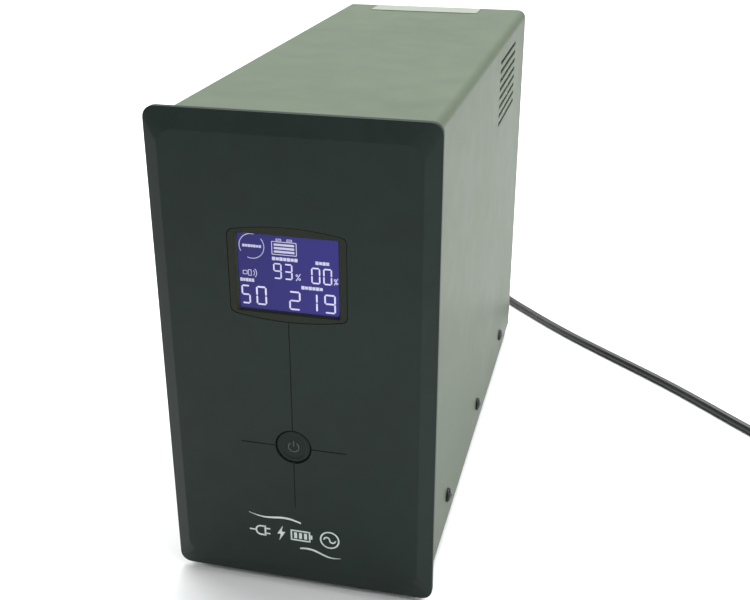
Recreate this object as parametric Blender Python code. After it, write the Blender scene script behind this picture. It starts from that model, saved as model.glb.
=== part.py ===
"""Tower uninterruptible power supply, as separate pieces that come apart on a bench.

Metres, +Z up. The front panel faces -Y, and +X is the right-hand side as seen from the front.
The origin is on the floor under the middle of the housing; the mains lead and its plug lie beyond it.
"""

from math import cos, pi, radians, sin

import bmesh
import bpy
from mathutils import Matrix, Vector

# Driving dimensions
GAP = 0.0003                    # clearance between neighbouring pieces
SHEET = 0.0012                  # sheet steel of the case
HALF_DEPTH = 0.194              # front face to the end of the reset button, halved
CASE_WIDTH = 0.146              # over the cover's sides
CASE_TOP = 0.280                # top of the cover
CASE_BOTTOM = 0.008             # underside of the case, carried by the feet
CASE_BACK = 0.1873              # rear edge of the cover
BEND_RADIUS = 0.006             # outside radius of the cover's folds

PANEL_PROUD = 0.0046            # front panel stands out past the cover all round
PANEL_RIM = 0.0035              # straight rim behind the chamfer
PANEL_CHAMFER = 0.0039          # depth of the chamfer
CHAMFER_SIDE = 0.0083           # width of the chamfer on the left and right
CHAMFER_END = 0.0106            # width of the chamfer at the top and bottom
PANEL_WALL = 0.0025
SKIRT_HALF = 0.0700             # skirt that slides inside the case
SKIRT_DEPTH = 0.010

FACE_X = -0.002                 # centre line of the display and the button
DISPLAY_Z = 0.1998
FRAME_WIDTH, FRAME_SIDE, FRAME_BULGE = 0.0646, 0.0466, 0.0033
WINDOW_WIDTH, WINDOW_HEIGHT = 0.0546, 0.0423
GLASS_SUNK = 0.0022             # glass face behind the panel's face
BUTTON_Z = 0.0968
BUTTON_RADIUS, BUTTON_HOLE = 0.0100, 0.0106
BUTTON_TRAVEL = 0.0015
GROOVE_WIDTH, GROOVE_DEPTH = 0.0006, 0.0005

SCREW_YS = (-0.119, 0.0, 0.119)
SCREW_Z = 0.028
FOOT_X, FOOT_Y, FOOT_RADIUS = 0.054, 0.150, 0.010

FAN_X, FAN_Z, FAN_SIZE, FAN_DEPTH = -0.022, 0.226, 0.080, 0.025
FAN_BORE, FAN_TIP, FAN_PITCH = 0.038, 0.0365, 0.03575
OUTLET_XS, OUTLET_ZS = (-0.033, 0.033), (0.098, 0.150)
OUTLET_FACE, OUTLET_BODY, OUTLET_WELL = 0.044, 0.0205, 0.0192
BREAKER_X, BREAKER_Z = -0.045, 0.042
BREAKER_TRAVEL = 0.003
PORTS_X, USB_Z, DATA_Z = 0.046, 0.246, 0.220

CORD_DIAMETER = 0.0064
CORD_EXIT = (0.018, 0.030)      # x and z of the strain relief on the rear panel
RELIEF_LENGTH = 0.026
COIL_CENTRE = (0.3226, 0.0594)
COIL_RADIUS = 0.0365            # to the middle of the bundle of turns
COIL_LIFT = 0.001               # the tie passes under the coil
TIE_ANGLE = radians(110)        # where the tie goes round the coil
PLUG_RADIUS = 0.0185
PLUG_X, PLUG_Y = 0.372, 0.110

# Worked out from the driving dimensions
FRONT = -HALF_DEPTH
SEAM = FRONT + PANEL_CHAMFER + PANEL_RIM
COVER_FRONT = SEAM + GAP
INSIDE_HALF = CASE_WIDTH / 2 - SHEET
CHASSIS_HALF = INSIDE_HALF - GAP
REAR_OUT = CASE_BACK - 0.0015   # outer face of the rear panel
REAR_IN = REAR_OUT - SHEET
PANEL_INSIDE = FRONT + PANEL_WALL
BOARD_FRONT = -0.1810           # front face of the circuit board behind the display
CORD_RADIUS = CORD_DIAMETER / 2


# ---------------------------------------------------------------- helpers

def material(name, colour, roughness, metallic=0.0):
    """A Principled material, made once for each name."""
    found = bpy.data.materials.get(name)
    if found:
        return found
    made = bpy.data.materials.new(name)
    made.use_nodes = True
    shader = made.node_tree.nodes["Principled BSDF"]
    shader.inputs["Base Color"].default_value = (*colour, 1.0)
    shader.inputs["Roughness"].default_value = roughness
    shader.inputs["Metallic"].default_value = metallic
    return made


def add_piece(name, bm, finish, origin=(0, 0, 0)):
    """Turns a finished bmesh, drawn in world space, into an object whose origin is at the given point."""
    bmesh.ops.recalc_face_normals(bm, faces=bm.faces)
    bmesh.ops.translate(bm, vec=-Vector(origin), verts=bm.verts)
    mesh = bpy.data.meshes.new(name)
    bm.to_mesh(mesh)
    bm.free()
    mesh.shade_smooth()
    mesh.set_sharp_from_angle(angle=radians(35))
    mesh.materials.append(finish)
    obj = bpy.data.objects.new(name, mesh)
    obj.location = origin
    bpy.context.scene.collection.objects.link(obj)
    return obj


def boolean(obj, bm, operation):
    """Cuts a hidden tool out of a piece, or joins it on. The tool is drawn in world space."""
    bmesh.ops.recalc_face_normals(bm, faces=bm.faces)
    number = len(obj.modifiers)
    mesh = bpy.data.meshes.new(f"{obj.name}_tool_{number}")
    bm.to_mesh(mesh)
    bm.free()
    tool = bpy.data.objects.new(mesh.name, mesh)
    tool.hide_render = True
    tool.display_type = "WIRE"
    bpy.context.scene.collection.objects.link(tool)
    modifier = obj.modifiers.new(f"{operation.lower()}_{number}", "BOOLEAN")
    modifier.operation = operation
    modifier.solver = "EXACT"
    modifier.object = tool


def cut(obj, bm):
    boolean(obj, bm, "DIFFERENCE")


def join(obj, bm):
    boolean(obj, bm, "UNION")


def block(bm, low, high):
    """A box between two opposite corners."""
    low, high = Vector(low), Vector(high)
    size = Matrix.Diagonal((*(high - low), 1.0))
    bmesh.ops.create_cube(bm, size=1.0, matrix=Matrix.Translation((low + high) / 2) @ size)


def rod(bm, centre, radius, start, end, axis="Y", sides=24):
    """A round bar. centre holds its other two coordinates, in X, Y, Z order."""
    turns = {"X": Matrix.Rotation(pi / 2, 4, "Y"), "Y": Matrix.Rotation(pi / 2, 4, "X"), "Z": Matrix()}
    place = list(centre)
    place.insert("XYZ".index(axis), (start + end) / 2)
    bmesh.ops.create_cone(bm, cap_ends=True, segments=sides, radius1=radius, radius2=radius,
                          depth=end - start, matrix=Matrix.Translation(place) @ turns[axis])


def arc(centre, radius, start, end, steps):
    """Points on an arc, angles in degrees."""
    angles = [radians(start + (end - start) * i / steps) for i in range(steps + 1)]
    return [(centre[0] + radius * cos(a), centre[1] + radius * sin(a)) for a in angles]


def rounded(width, height, radius, steps=4, centre=(0.0, 0.0)):
    """Outline of a rectangle with round corners."""
    half_w, half_h = width / 2 - radius, height / 2 - radius
    points = []
    for quarter, (sign_u, sign_v) in enumerate(((1, 1), (-1, 1), (-1, -1), (1, -1))):
        corner = (centre[0] + sign_u * half_w, centre[1] + sign_v * half_h)
        points += arc(corner, radius, 90 * quarter, 90 * quarter + 90, steps)
    return points


def barrel(width, side, bulge, radius, steps=8):
    """Straight sides with an arched top and bottom, about the display's centre."""
    half_w, half_h = width / 2, side / 2
    rise = [((1 - 2 * i / steps) * (half_w - radius)) for i in range(steps + 1)]
    top = [(u, half_h + bulge * (1 - (u / half_w) ** 2)) for u in rise]
    edge = half_h + bulge * (1 - ((half_w - radius) / half_w) ** 2) - radius
    right = [(half_w, edge), (half_w - 0.3 * radius, edge + 0.7 * radius)]
    quarter = right + top + [(-u, v) for u, v in reversed(right)]
    outline = quarter + [(-u, -v) for u, v in quarter]
    return [(FACE_X + u, DISPLAY_Z + v) for u, v in outline]


def placed(point, station, axis):
    """A point of an outline, put on the plane across an axis."""
    u, v = point
    return {"X": (station, u, v), "Y": (u, station, v), "Z": (u, v, station)}[axis]


def stack(bm, sections, axis="Y"):
    """Extrudes an outline through a list of (outline, station), all with the same number of points."""
    outline, station = sections[0]
    face = bm.faces.new([bm.verts.new(placed(p, station, axis)) for p in outline])
    first = face
    for outline, station in sections[1:]:
        grown = bmesh.ops.extrude_face_region(bm, geom=[face])["geom"]
        if face is not first:
            bmesh.ops.delete(bm, geom=[face], context="FACES_ONLY")
        face = next(g for g in grown if isinstance(g, bmesh.types.BMFace))
        for loop, point in zip(face.loops, outline):
            loop.vert.co = placed(point, station, axis)


def prism(bm, outline, start, end, axis="Y"):
    stack(bm, [(outline, start), (outline, end)], axis)


def turned(bm, profile, centre, axis="Y", sides=24):
    """Turns (radius, station) points about an axis; the first and last points lie on the axis."""
    frames = {"X": Matrix.Rotation(pi / 2, 4, "Y"), "Y": Matrix.Rotation(-pi / 2, 4, "X"), "Z": Matrix()}
    verts = [bm.verts.new((radius, 0, station)) for radius, station in profile]
    edges = [bm.edges.new(pair) for pair in zip(verts, verts[1:])]
    bmesh.ops.spin(bm, geom=verts + edges, cent=(0, 0, 0), axis=(0, 0, 1), angle=2 * pi,
                   steps=sides, use_merge=True, use_duplicate=False)
    bmesh.ops.remove_doubles(bm, verts=bm.verts, dist=1e-6)
    place = list(centre)
    place.insert("XYZ".index(axis), 0.0)
    bmesh.ops.transform(bm, matrix=Matrix.Translation(place) @ frames[axis], verts=bm.verts)


# ---------------------------------------------------------------- case

def make_cover():
    """Sheet folded to an inverted U, with vent slots at the back of both sides and six screw holes."""
    half, inner = CASE_WIDTH / 2, INSIDE_HALF
    bend = half - BEND_RADIUS
    crown = CASE_TOP - BEND_RADIUS
    outline = [(half, CASE_BOTTOM)] + arc((bend, crown), BEND_RADIUS, 0, 90, 5)
    outline += arc((-bend, crown), BEND_RADIUS, 90, 180, 5) + [(-half, CASE_BOTTOM)]
    outline += [(-inner, CASE_BOTTOM)] + arc((-bend, crown), BEND_RADIUS - SHEET, 180, 90, 5)
    outline += arc((bend, crown), BEND_RADIUS - SHEET, 90, 0, 5) + [(inner, CASE_BOTTOM)]
    bm = bmesh.new()
    prism(bm, outline, COVER_FRONT, CASE_BACK)
    cover = add_piece("top_cover", bm, material("powder_coat", (0.10, 0.11, 0.09), 0.55))
    slots, length, height, pitch, first = 8, 0.080, 0.0027, 0.0061, 0.2225
    bm = bmesh.new()
    for row in range(slots):
        slot = rounded(length, height, height / 2 - 0.0001, 3, (0.0885, first + row * pitch))
        prism(bm, slot, -half - 0.005, half + 0.005, "X")
    cut(cover, bm)
    bm = bmesh.new()
    for y in SCREW_YS:
        rod(bm, (y, SCREW_Z), 0.0024, -half - 0.005, half + 0.005, "X", 12)
    cut(cover, bm)


def make_chassis():
    """Folded tray that carries everything: a floor with vent slots and two side flanges."""
    half, floor, top = CHASSIS_HALF, CASE_BOTTOM + SHEET, CASE_BOTTOM + 0.034
    outline = [(half, CASE_BOTTOM), (half, top), (half - SHEET, top), (half - SHEET, floor)]
    outline += [(-u, v) for u, v in reversed(outline)]
    bm = bmesh.new()
    prism(bm, outline, COVER_FRONT + 0.0005, REAR_IN - GAP)
    chassis = add_piece("base_chassis", bm, material("zinc_sheet", (0.45, 0.46, 0.46), 0.4, 1.0))
    bm = bmesh.new()
    for y in SCREW_YS:
        rod(bm, (y, SCREW_Z), 0.0022, -half - 0.005, half + 0.005, "X", 12)
    cut(chassis, bm)
    bm = bmesh.new()
    for row in range(6):
        prism(bm, rounded(0.050, 0.004, 0.0018, 2, (0.0, 0.030 + row * 0.010)), 0.0, floor + 0.01, "Z")
    for x in (-FOOT_X, FOOT_X):
        for y in (-FOOT_Y, FOOT_Y):
            rod(bm, (x, y), 0.0024, 0.0, floor + 0.01, "Z", 12)
    cut(chassis, bm)


def make_feet():
    """Four turned rubber feet, each with a stub that plugs into the tray."""
    under, floor = CASE_BOTTOM - GAP, CASE_BOTTOM + SHEET
    profile = [(0, 0), (0.0085, 0), (FOOT_RADIUS, 0.0015), (FOOT_RADIUS - 0.001, under),
               (0.0020, under), (0.0020, floor), (0, floor)]
    rubber = material("foot_rubber", (0.03, 0.03, 0.03), 0.8)
    for number, (x, y) in enumerate(((-1, -1), (1, -1), (-1, 1), (1, 1)), 1):
        bm = bmesh.new()
        turned(bm, profile, (x * FOOT_X, y * FOOT_Y), "Z", 20)
        add_piece(f"foot_{number}", bm, rubber, (x * FOOT_X, y * FOOT_Y, 0))


def make_case_screws():
    """Three domed black screws on each side, through the cover and the tray's flange."""
    black = material("black_screw", (0.02, 0.02, 0.02), 0.35, 0.6)
    face = CASE_WIDTH / 2 + GAP
    profile = [(0, 0.0026), (0.0024, 0.0023), (0.0040, 0.0014), (0.0046, 0.0004), (0.0046, 0),
               (0.0018, 0), (0.0018, -0.0062), (0, -0.0062)]
    for side, sign in (("left", -1), ("right", 1)):
        for number, y in enumerate(SCREW_YS, 1):
            bm = bmesh.new()
            points = [(radius, sign * (face + height)) for radius, height in profile]
            turned(bm, points, (y, SCREW_Z), "X", 16)
            add_piece(f"case_screw_{side}_{number}", bm, black, (sign * face, y, SCREW_Z))


def make_label():
    """Blank paper label stuck on the cover by its back edge."""
    bm = bmesh.new()
    prism(bm, rounded(0.084, 0.024, 0.001, 2, (-0.004, 0.1725)), CASE_TOP + 0.0001, CASE_TOP + 0.0005, "Z")
    add_piece("top_label", bm, material("label_paper", (0.75, 0.75, 0.70), 0.6))


# ---------------------------------------------------------------- front panel

def make_front_panel():
    """One-piece moulding: chamfered face, straight rim and a skirt that slides inside the case."""
    width, low = CASE_WIDTH + 2 * PANEL_PROUD, CASE_BOTTOM - PANEL_PROUD
    high = CASE_TOP + PANEL_PROUD - GAP
    middle = (0.0, (low + high) / 2)
    height = high - low
    skirt_low, skirt_high = CASE_BOTTOM + SHEET + GAP, CASE_TOP - SHEET - GAP
    skirt_mid = (0.0, (skirt_low + skirt_high) / 2)
    skirt_h = skirt_high - skirt_low
    hollow_w, hollow_h = 2 * (SKIRT_HALF - PANEL_WALL), skirt_h - 2 * PANEL_WALL
    face = rounded(width - 2 * CHAMFER_SIDE, height - 2 * CHAMFER_END, 0.009, 5, middle)
    rim = rounded(width, height, 0.0065, 5, middle)
    skirt = rounded(2 * SKIRT_HALF, skirt_h, 0.004, 5, skirt_mid)
    hollow = rounded(hollow_w, hollow_h, 0.003, 5, skirt_mid)
    end = SEAM + SKIRT_DEPTH
    bm = bmesh.new()
    stack(bm, [(face, FRONT), (rim, FRONT + PANEL_CHAMFER), (rim, SEAM), (skirt, SEAM), (skirt, end),
               (hollow, end), (hollow, PANEL_INSIDE)])
    panel = add_piece("front_panel", bm, material("panel_plastic", (0.025, 0.035, 0.032), 0.5))
    bm = bmesh.new()
    prism(bm, barrel(FRAME_WIDTH, FRAME_SIDE, FRAME_BULGE, 0.003), FRONT - 0.005, PANEL_INSIDE + 0.005)
    cut(panel, bm)
    bm = bmesh.new()
    rod(bm, (FACE_X, BUTTON_Z), BUTTON_HOLE, FRONT - 0.005, PANEL_INSIDE + 0.005, "Y", 32)
    cut(panel, bm)
    bm = bmesh.new()
    for x in (-0.038, 0.034):
        for z in (0.087, 0.2325):
            rod(bm, (x, z), 0.0025, PANEL_INSIDE - 0.001, BOARD_FRONT - GAP, "Y", 12)
    join(panel, bm)
    bm = bmesh.new()
    half, reach = GROOVE_WIDTH / 2, 0.0305
    frame_foot = DISPLAY_Z - FRAME_SIDE / 2 - FRAME_BULGE
    bottom = BUTTON_Z - 0.0405
    floor = FRONT + GROOVE_DEPTH
    block(bm, (FACE_X - half, FRONT - 0.002, BUTTON_Z + 0.008), (FACE_X + half, floor, frame_foot + 0.002))
    block(bm, (FACE_X - half, FRONT - 0.002, bottom), (FACE_X + half, floor, BUTTON_Z - 0.008))
    block(bm, (FACE_X - reach, FRONT - 0.002, BUTTON_Z - half), (FACE_X - 0.008, floor, BUTTON_Z + half))
    block(bm, (FACE_X + 0.008, FRONT - 0.002, BUTTON_Z - half), (FACE_X + reach, floor, BUTTON_Z + half))
    cut(panel, bm)


def make_display():
    """Frame, glass cell and backlight box, stacked behind the panel's barrel-shaped opening."""
    lip, flange = PANEL_INSIDE + GAP, 0.0022
    glass_front = FRONT + GLASS_SUNK
    frame_back = glass_front + 0.0030
    outer = barrel(FRAME_WIDTH - 2 * GAP, FRAME_SIDE - 2 * GAP, FRAME_BULGE, 0.003)
    bm = bmesh.new()
    prism(bm, outer, FRONT + 0.0002, lip + 0.001)
    frame = add_piece("display_frame", bm, material("display_frame_plastic", (0.015, 0.018, 0.015), 0.3))
    centre = (FACE_X, DISPLAY_Z)
    bm = bmesh.new()
    prism(bm, rounded(FRAME_WIDTH + 2 * flange, FRAME_SIDE + 2 * FRAME_BULGE + 2 * flange, 0.002, 2, centre),
          lip, frame_back)
    join(frame, bm)
    bm = bmesh.new()
    window = rounded(WINDOW_WIDTH, WINDOW_HEIGHT, 0.0008, 2, centre)
    wide = rounded(WINDOW_WIDTH + 0.0020, WINDOW_HEIGHT + 0.0020, 0.0010, 2, centre)
    stack(bm, [(wide, FRONT - 0.001), (wide, FRONT + 0.0006), (window, FRONT + 0.0018),
               (window, frame_back + 0.002)])
    cut(frame, bm)
    bm = bmesh.new()
    pocket = rounded(WINDOW_WIDTH + 0.0038, WINDOW_HEIGHT + 0.0038, 0.0005, 2, centre)
    prism(bm, pocket, glass_front - GAP, frame_back + 0.001)
    cut(frame, bm)
    bm = bmesh.new()
    prism(bm, rounded(WINDOW_WIDTH + 0.0030, WINDOW_HEIGHT + 0.0030, 0.0004, 2, centre),
          glass_front, glass_front + 0.0022)
    add_piece("display_glass", bm, material("display_blue", (0.02, 0.025, 0.22), 0.1))
    bm = bmesh.new()
    prism(bm, rounded(WINDOW_WIDTH + 0.0030, WINDOW_HEIGHT + 0.0030, 0.0004, 2, centre),
          glass_front + 0.0022 + GAP, BOARD_FRONT - GAP)
    add_piece("display_backlight", bm, material("backlight_plastic", (0.8, 0.8, 0.78), 0.5))


def make_front_board():
    """Circuit board behind the panel, with the push switch under the power button."""
    bm = bmesh.new()
    block(bm, (-0.042, BOARD_FRONT, 0.082), (0.038, BOARD_FRONT + 0.0016, 0.236))
    add_piece("front_board", bm, material("circuit_board", (0.02, 0.10, 0.04), 0.4))
    bm = bmesh.new()
    body = BOARD_FRONT - 0.0035
    block(bm, (FACE_X - 0.003, body, BUTTON_Z - 0.003), (FACE_X + 0.003, BOARD_FRONT - GAP, BUTTON_Z + 0.003))
    switch = add_piece("push_switch", bm, material("black_plastic", (0.02, 0.02, 0.02), 0.4))
    bm = bmesh.new()
    rod(bm, (FACE_X, BUTTON_Z), 0.00175, body - 0.0008, body + 0.001, "Y", 12)
    join(switch, bm)


def make_power_button():
    """Turned cap with a sunk face, a retaining flange behind the panel and a stem towards the switch."""
    face = FRONT + 0.0006
    flange = PANEL_INSIDE + GAP
    stem_end = BOARD_FRONT - 0.0035 - 0.0008 - BUTTON_TRAVEL - 0.0004
    r = BUTTON_RADIUS
    profile = [(0, face + 0.0004), (r - 0.0024, face + 0.0004), (r - 0.0018, face), (r - 0.0004, face),
               (r, face + 0.0004), (r, flange), (0.0118, flange), (0.0118, flange + 0.0010),
               (0.0030, flange + 0.0010), (0.0030, stem_end), (0, stem_end)]
    bm = bmesh.new()
    turned(bm, profile, (FACE_X, BUTTON_Z), "Y", 32)
    add_piece("power_button", bm, material("button_plastic", (0.025, 0.035, 0.030), 0.45),
              (FACE_X, face, BUTTON_Z))


# ---------------------------------------------------------------- inside

def make_batteries():
    """Two sealed lead-acid batteries side by side, each with two spade terminals."""
    casing = material("battery_case", (0.05, 0.05, 0.055), 0.5)
    low = CASE_BOTTOM + SHEET + GAP
    for name, x in (("battery_left", -0.0335), ("battery_right", 0.0335)):
        bm = bmesh.new()
        prism(bm, rounded(0.065, 0.151, 0.003, 2, (x, -0.089)), low, low + 0.094, "Z")
        battery = add_piece(name, bm, casing)
        bm = bmesh.new()
        for dx in (-0.020, 0.020):
            block(bm, (x + dx - 0.0004, -0.156, low + 0.092), (x + dx + 0.0004, -0.150, low + 0.100))
        join(battery, bm)


def bridge_outline(half, base, top, foot, thickness):
    """Sheet folded to a bridge with outward feet, seen from the front."""
    right = [(half + foot, base), (half + foot, base + thickness), (half + thickness, base + thickness),
             (half + thickness, top)]
    under = [(half, top - thickness), (half, base)]
    return right + [(-u, v) for u, v in reversed(right)] + [(-u, v) for u, v in reversed(under)] + under


def make_battery_strap():
    """Folded strip over both batteries, legs down to the tray."""
    base = CASE_BOTTOM + SHEET + GAP
    top = base + 0.094 + GAP + SHEET
    inner, outer = 0.0664, 0.0676
    outline = [(outer, base), (outer, top), (-outer, top), (-outer, base)]
    outline += [(-inner, base), (-inner, top - SHEET), (inner, top - SHEET), (inner, base)]
    bm = bmesh.new()
    prism(bm, outline, -0.085, -0.060)
    add_piece("battery_strap", bm, material("zinc_sheet", (0.45, 0.46, 0.46), 0.4, 1.0))


SHELF_Z, SHELF_FRONT, SHELF_BACK = 0.150, -0.150, 0.060


def make_shelf():
    """Folded shelf over the batteries and the transformer; its legs stand inside the tray's flanges."""
    outer = 0.0699
    inner = outer - SHEET
    base, top = CASE_BOTTOM + SHEET + GAP, SHELF_Z
    outline = [(outer, base), (outer, top), (-outer, top), (-outer, base)]
    outline += [(-inner, base), (-inner, top - SHEET), (inner, top - SHEET), (inner, base)]
    bm = bmesh.new()
    prism(bm, outline, SHELF_FRONT, SHELF_BACK)
    shelf = add_piece("board_shelf", bm, material("zinc_sheet", (0.45, 0.46, 0.46), 0.4, 1.0))
    bm = bmesh.new()
    for y in SCREW_YS[:2]:
        rod(bm, (y, SCREW_Z), 0.0022, -0.080, 0.080, "X", 12)
    cut(shelf, bm)
    bm = bmesh.new()
    for x in (-0.055, 0.055):
        for y in (-0.140, 0.045):
            rod(bm, (x, y), 0.003, SHELF_Z - 0.0005, SHELF_Z + 0.010, "Z", 8)
    join(shelf, bm)


def make_main_board():
    """Main circuit board on the shelf's posts, with heat sinks, relays and capacitors."""
    low = SHELF_Z + 0.010 + GAP
    top = low + 0.0016 + GAP
    bm = bmesh.new()
    block(bm, (-0.060, -0.145, low), (0.060, 0.050, low + 0.0016))
    add_piece("main_board", bm, material("circuit_board", (0.02, 0.10, 0.04), 0.4))
    for name, x in (("heat_sink_left", -0.040), ("heat_sink_right", 0.018)):
        make_heat_sink(name, x, top)
    for name, y in (("relay_1", -0.050), ("relay_2", -0.025)):
        bm = bmesh.new()
        prism(bm, rounded(0.028, 0.018, 0.001, 2, (-0.008, y)), top, top + 0.022, "Z")
        add_piece(name, bm, material("relay_case", (0.05, 0.12, 0.35), 0.4))
    for name, y in (("capacitor_1", 0.005), ("capacitor_2", 0.032)):
        bm = bmesh.new()
        turned(bm, [(0, top), (0.0105, top), (0.011, top + 0.001), (0.011, top + 0.034),
                    (0.0102, top + 0.035), (0, top + 0.035)], (-0.008, y), "Z", 16)
        add_piece(name, bm, material("capacitor_sleeve", (0.02, 0.03, 0.08), 0.4))


def make_heat_sink(name, x, base):
    """Extruded comb: a back plate with upright fins, drawn from above."""
    fins, pitch, length, thick = 6, 0.008, 0.020, 0.0018
    outline = [(x - thick, -0.130), (x, -0.130)]
    for fin in range(fins):
        y = -0.130 + fin * pitch
        outline += [(x + length, y), (x + length, y + thick), (x, y + thick)]
        if fin < fins - 1:
            outline.append((x, y + pitch))
    outline.append((x - thick, -0.130 + (fins - 1) * pitch + thick))
    outline.remove((x, -0.130))
    bm = bmesh.new()
    prism(bm, outline, base, base + 0.040, "Z")
    add_piece(name, bm, material("aluminium_fins", (0.65, 0.66, 0.68), 0.35, 1.0))


def make_transformer():
    """Laminated core with two windows, the winding on its middle leg, and the clamp that holds it down."""
    y_mid, base = 0.078, CASE_BOTTOM + SHEET + GAP + SHEET + GAP
    half_w, height, half_d, leg = 0.0525, 0.088, 0.025, 0.0175
    window_low, window_high = base + leg, base + height - leg
    bm = bmesh.new()
    block(bm, (-half_w, y_mid - half_d, base), (half_w, y_mid + half_d, base + height))
    core = add_piece("transformer_core", bm, material("core_steel", (0.12, 0.11, 0.10), 0.5, 0.8))
    bm = bmesh.new()
    for sign in (-1, 1):
        inner, outer = sorted((sign * leg, sign * (half_w - leg)))
        block(bm, (inner, -0.1, window_low), (outer, 0.2, window_high))
    cut(core, bm)
    bm = bmesh.new()
    reach = half_d + leg - 2 * GAP
    outer = rounded(2 * (half_w - leg - GAP), 2 * reach, 0.006, 3, (0, y_mid))
    prism(bm, outer, window_low + GAP, window_high - GAP, "Z")
    winding = add_piece("transformer_winding", bm, material("winding_tape", (0.55, 0.40, 0.10), 0.5))
    bm = bmesh.new()
    block(bm, (-leg - GAP, y_mid - half_d - GAP, 0), (leg + GAP, y_mid + half_d + GAP, 0.2))
    cut(winding, bm)
    low = CASE_BOTTOM + SHEET + GAP
    bm = bmesh.new()
    prism(bm, bridge_outline(half_w + GAP, low, base + height + GAP + SHEET, 0.012, SHEET),
          y_mid - 0.012, y_mid + 0.012)
    add_piece("transformer_clamp", bm, material("zinc_sheet", (0.45, 0.46, 0.46), 0.4, 1.0))


def make_ribbon():
    """Flat cable from the front board up and over to the main board."""
    board_back = BOARD_FRONT + 0.0016 + GAP
    low = SHELF_Z + 0.010 + GAP + 0.0016 + GAP
    thick, bend = 0.001, 0.010
    top, end_y = 0.195, -0.140
    corner = (end_y - bend + thick, top - bend)
    outer = [(board_back, top)] + arc(corner, bend, 90, 0, 5) + [(end_y + thick, low)]
    inner = [(end_y, low)] + arc(corner, bend - thick, 0, 90, 5) + [(board_back, top - thick)]
    bm = bmesh.new()
    prism(bm, outer + inner, -0.034, -0.016, "X")
    add_piece("ribbon_cable", bm, material("cable_grey", (0.45, 0.45, 0.47), 0.6))


# ---------------------------------------------------------------- rear

def make_rear_panel():
    """Flat rear plate with cut-outs for the fan, outlets, breaker, ports and lead."""
    bm = bmesh.new()
    low, high = CASE_BOTTOM + SHEET + GAP, CASE_TOP - SHEET - GAP
    prism(bm, rounded(2 * CHASSIS_HALF, high - low, 0.004, 3, (0, (low + high) / 2)), REAR_IN, REAR_OUT)
    panel = add_piece("rear_panel", bm, material("powder_coat", (0.10, 0.11, 0.09), 0.55))
    front, back = REAR_IN - 0.005, REAR_OUT + 0.005
    bm = bmesh.new()
    rod(bm, (FAN_X, FAN_Z), FAN_BORE - 0.0005, front, back, "Y", 36)
    for dx, dz in fan_corners():
        rod(bm, (FAN_X + dx, FAN_Z + dz), 0.0022, front, back, "Y", 12)
    for x in OUTLET_XS:
        for z in OUTLET_ZS:
            rod(bm, (x, z), OUTLET_BODY + GAP, front, back, "Y", 28)
    rod(bm, (BREAKER_X, BREAKER_Z), 0.0055 + GAP, front, back, "Y", 16)
    rod(bm, CORD_EXIT, 0.0060 + GAP, front, back, "Y", 16)
    for width, height, z in ((0.0120, 0.0110, USB_Z), (0.0310, 0.0140, DATA_Z)):
        prism(bm, rounded(width + 2 * GAP, height + 2 * GAP, 0.0005, 2, (PORTS_X, z)), front, back)
    cut(panel, bm)


def fan_corners():
    return [(sx * FAN_PITCH, sz * FAN_PITCH) for sx in (-1, 1) for sz in (-1, 1)]


def make_fan():
    """Square fan frame with three struts to the motor plate, a seven-blade rotor, guard and screws."""
    back = REAR_IN - GAP
    front = back - FAN_DEPTH
    centre = (FAN_X, FAN_Z)
    black = material("fan_plastic", (0.02, 0.02, 0.022), 0.45)
    bm = bmesh.new()
    prism(bm, rounded(FAN_SIZE, FAN_SIZE, 0.004, 3, centre), front, back)
    frame = add_piece("fan_frame", bm, black)
    bm = bmesh.new()
    rod(bm, centre, FAN_BORE, front - 0.002, back + 0.002, "Y", 36)
    for dx, dz in fan_corners():
        rod(bm, (FAN_X + dx, FAN_Z + dz), 0.0021, front - 0.002, back + 0.002, "Y", 12)
    cut(frame, bm)
    for turn in range(3):
        bm = bmesh.new()
        block(bm, (0, front, -0.0015), (FAN_BORE + 0.001, front + 0.003, 0.0015))
        spin = Matrix.Rotation(radians(90 + 120 * turn), 4, "Y")
        bmesh.ops.transform(bm, matrix=Matrix.Translation((FAN_X, 0, FAN_Z)) @ spin, verts=bm.verts)
        join(frame, bm)
    bm = bmesh.new()
    rod(bm, centre, 0.016, front - 0.0002, front + 0.0034, "Y", 24)
    join(frame, bm)
    make_rotor(front + 0.0045, back - 0.0025, black)
    make_guard(centre)
    steel = material("fan_screw_steel", (0.5, 0.5, 0.5), 0.3, 1.0)
    head = REAR_OUT + GAP
    profile = [(0, head + 0.0018), (0.0020, head + 0.0016), (0.0032, head + 0.0006), (0.0034, head),
               (0.0017, head), (0.0017, front + 0.012), (0, front + 0.012)]
    for number, (dx, dz) in enumerate(fan_corners(), 1):
        bm = bmesh.new()
        turned(bm, profile, (FAN_X + dx, FAN_Z + dz), "Y", 12)
        add_piece(f"fan_screw_{number}", bm, steel, (FAN_X + dx, head, FAN_Z + dz))


def make_rotor(start, end, finish):
    """Hub and seven twisted blades, drawn as one outline that turns as it is extruded."""
    blades, hub, layers, twist = 7, 0.017, 5, 32
    sections = []
    for layer in range(layers + 1):
        share = layer / layers
        outline = []
        for blade in range(blades):
            angle = 360 / blades * blade + twist * share
            outline += arc((0, 0), FAN_TIP, angle, angle + 7, 2)
            outline += arc((0, 0), hub, angle + 8, angle + 360 / blades - 4, 3)
        outline = [(FAN_X + u, FAN_Z + v) for u, v in outline]
        sections.append((outline, start + (end - start) * share))
    bm = bmesh.new()
    stack(bm, sections)
    add_piece("fan_rotor", bm, finish, (FAN_X, start, FAN_Z))


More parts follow.
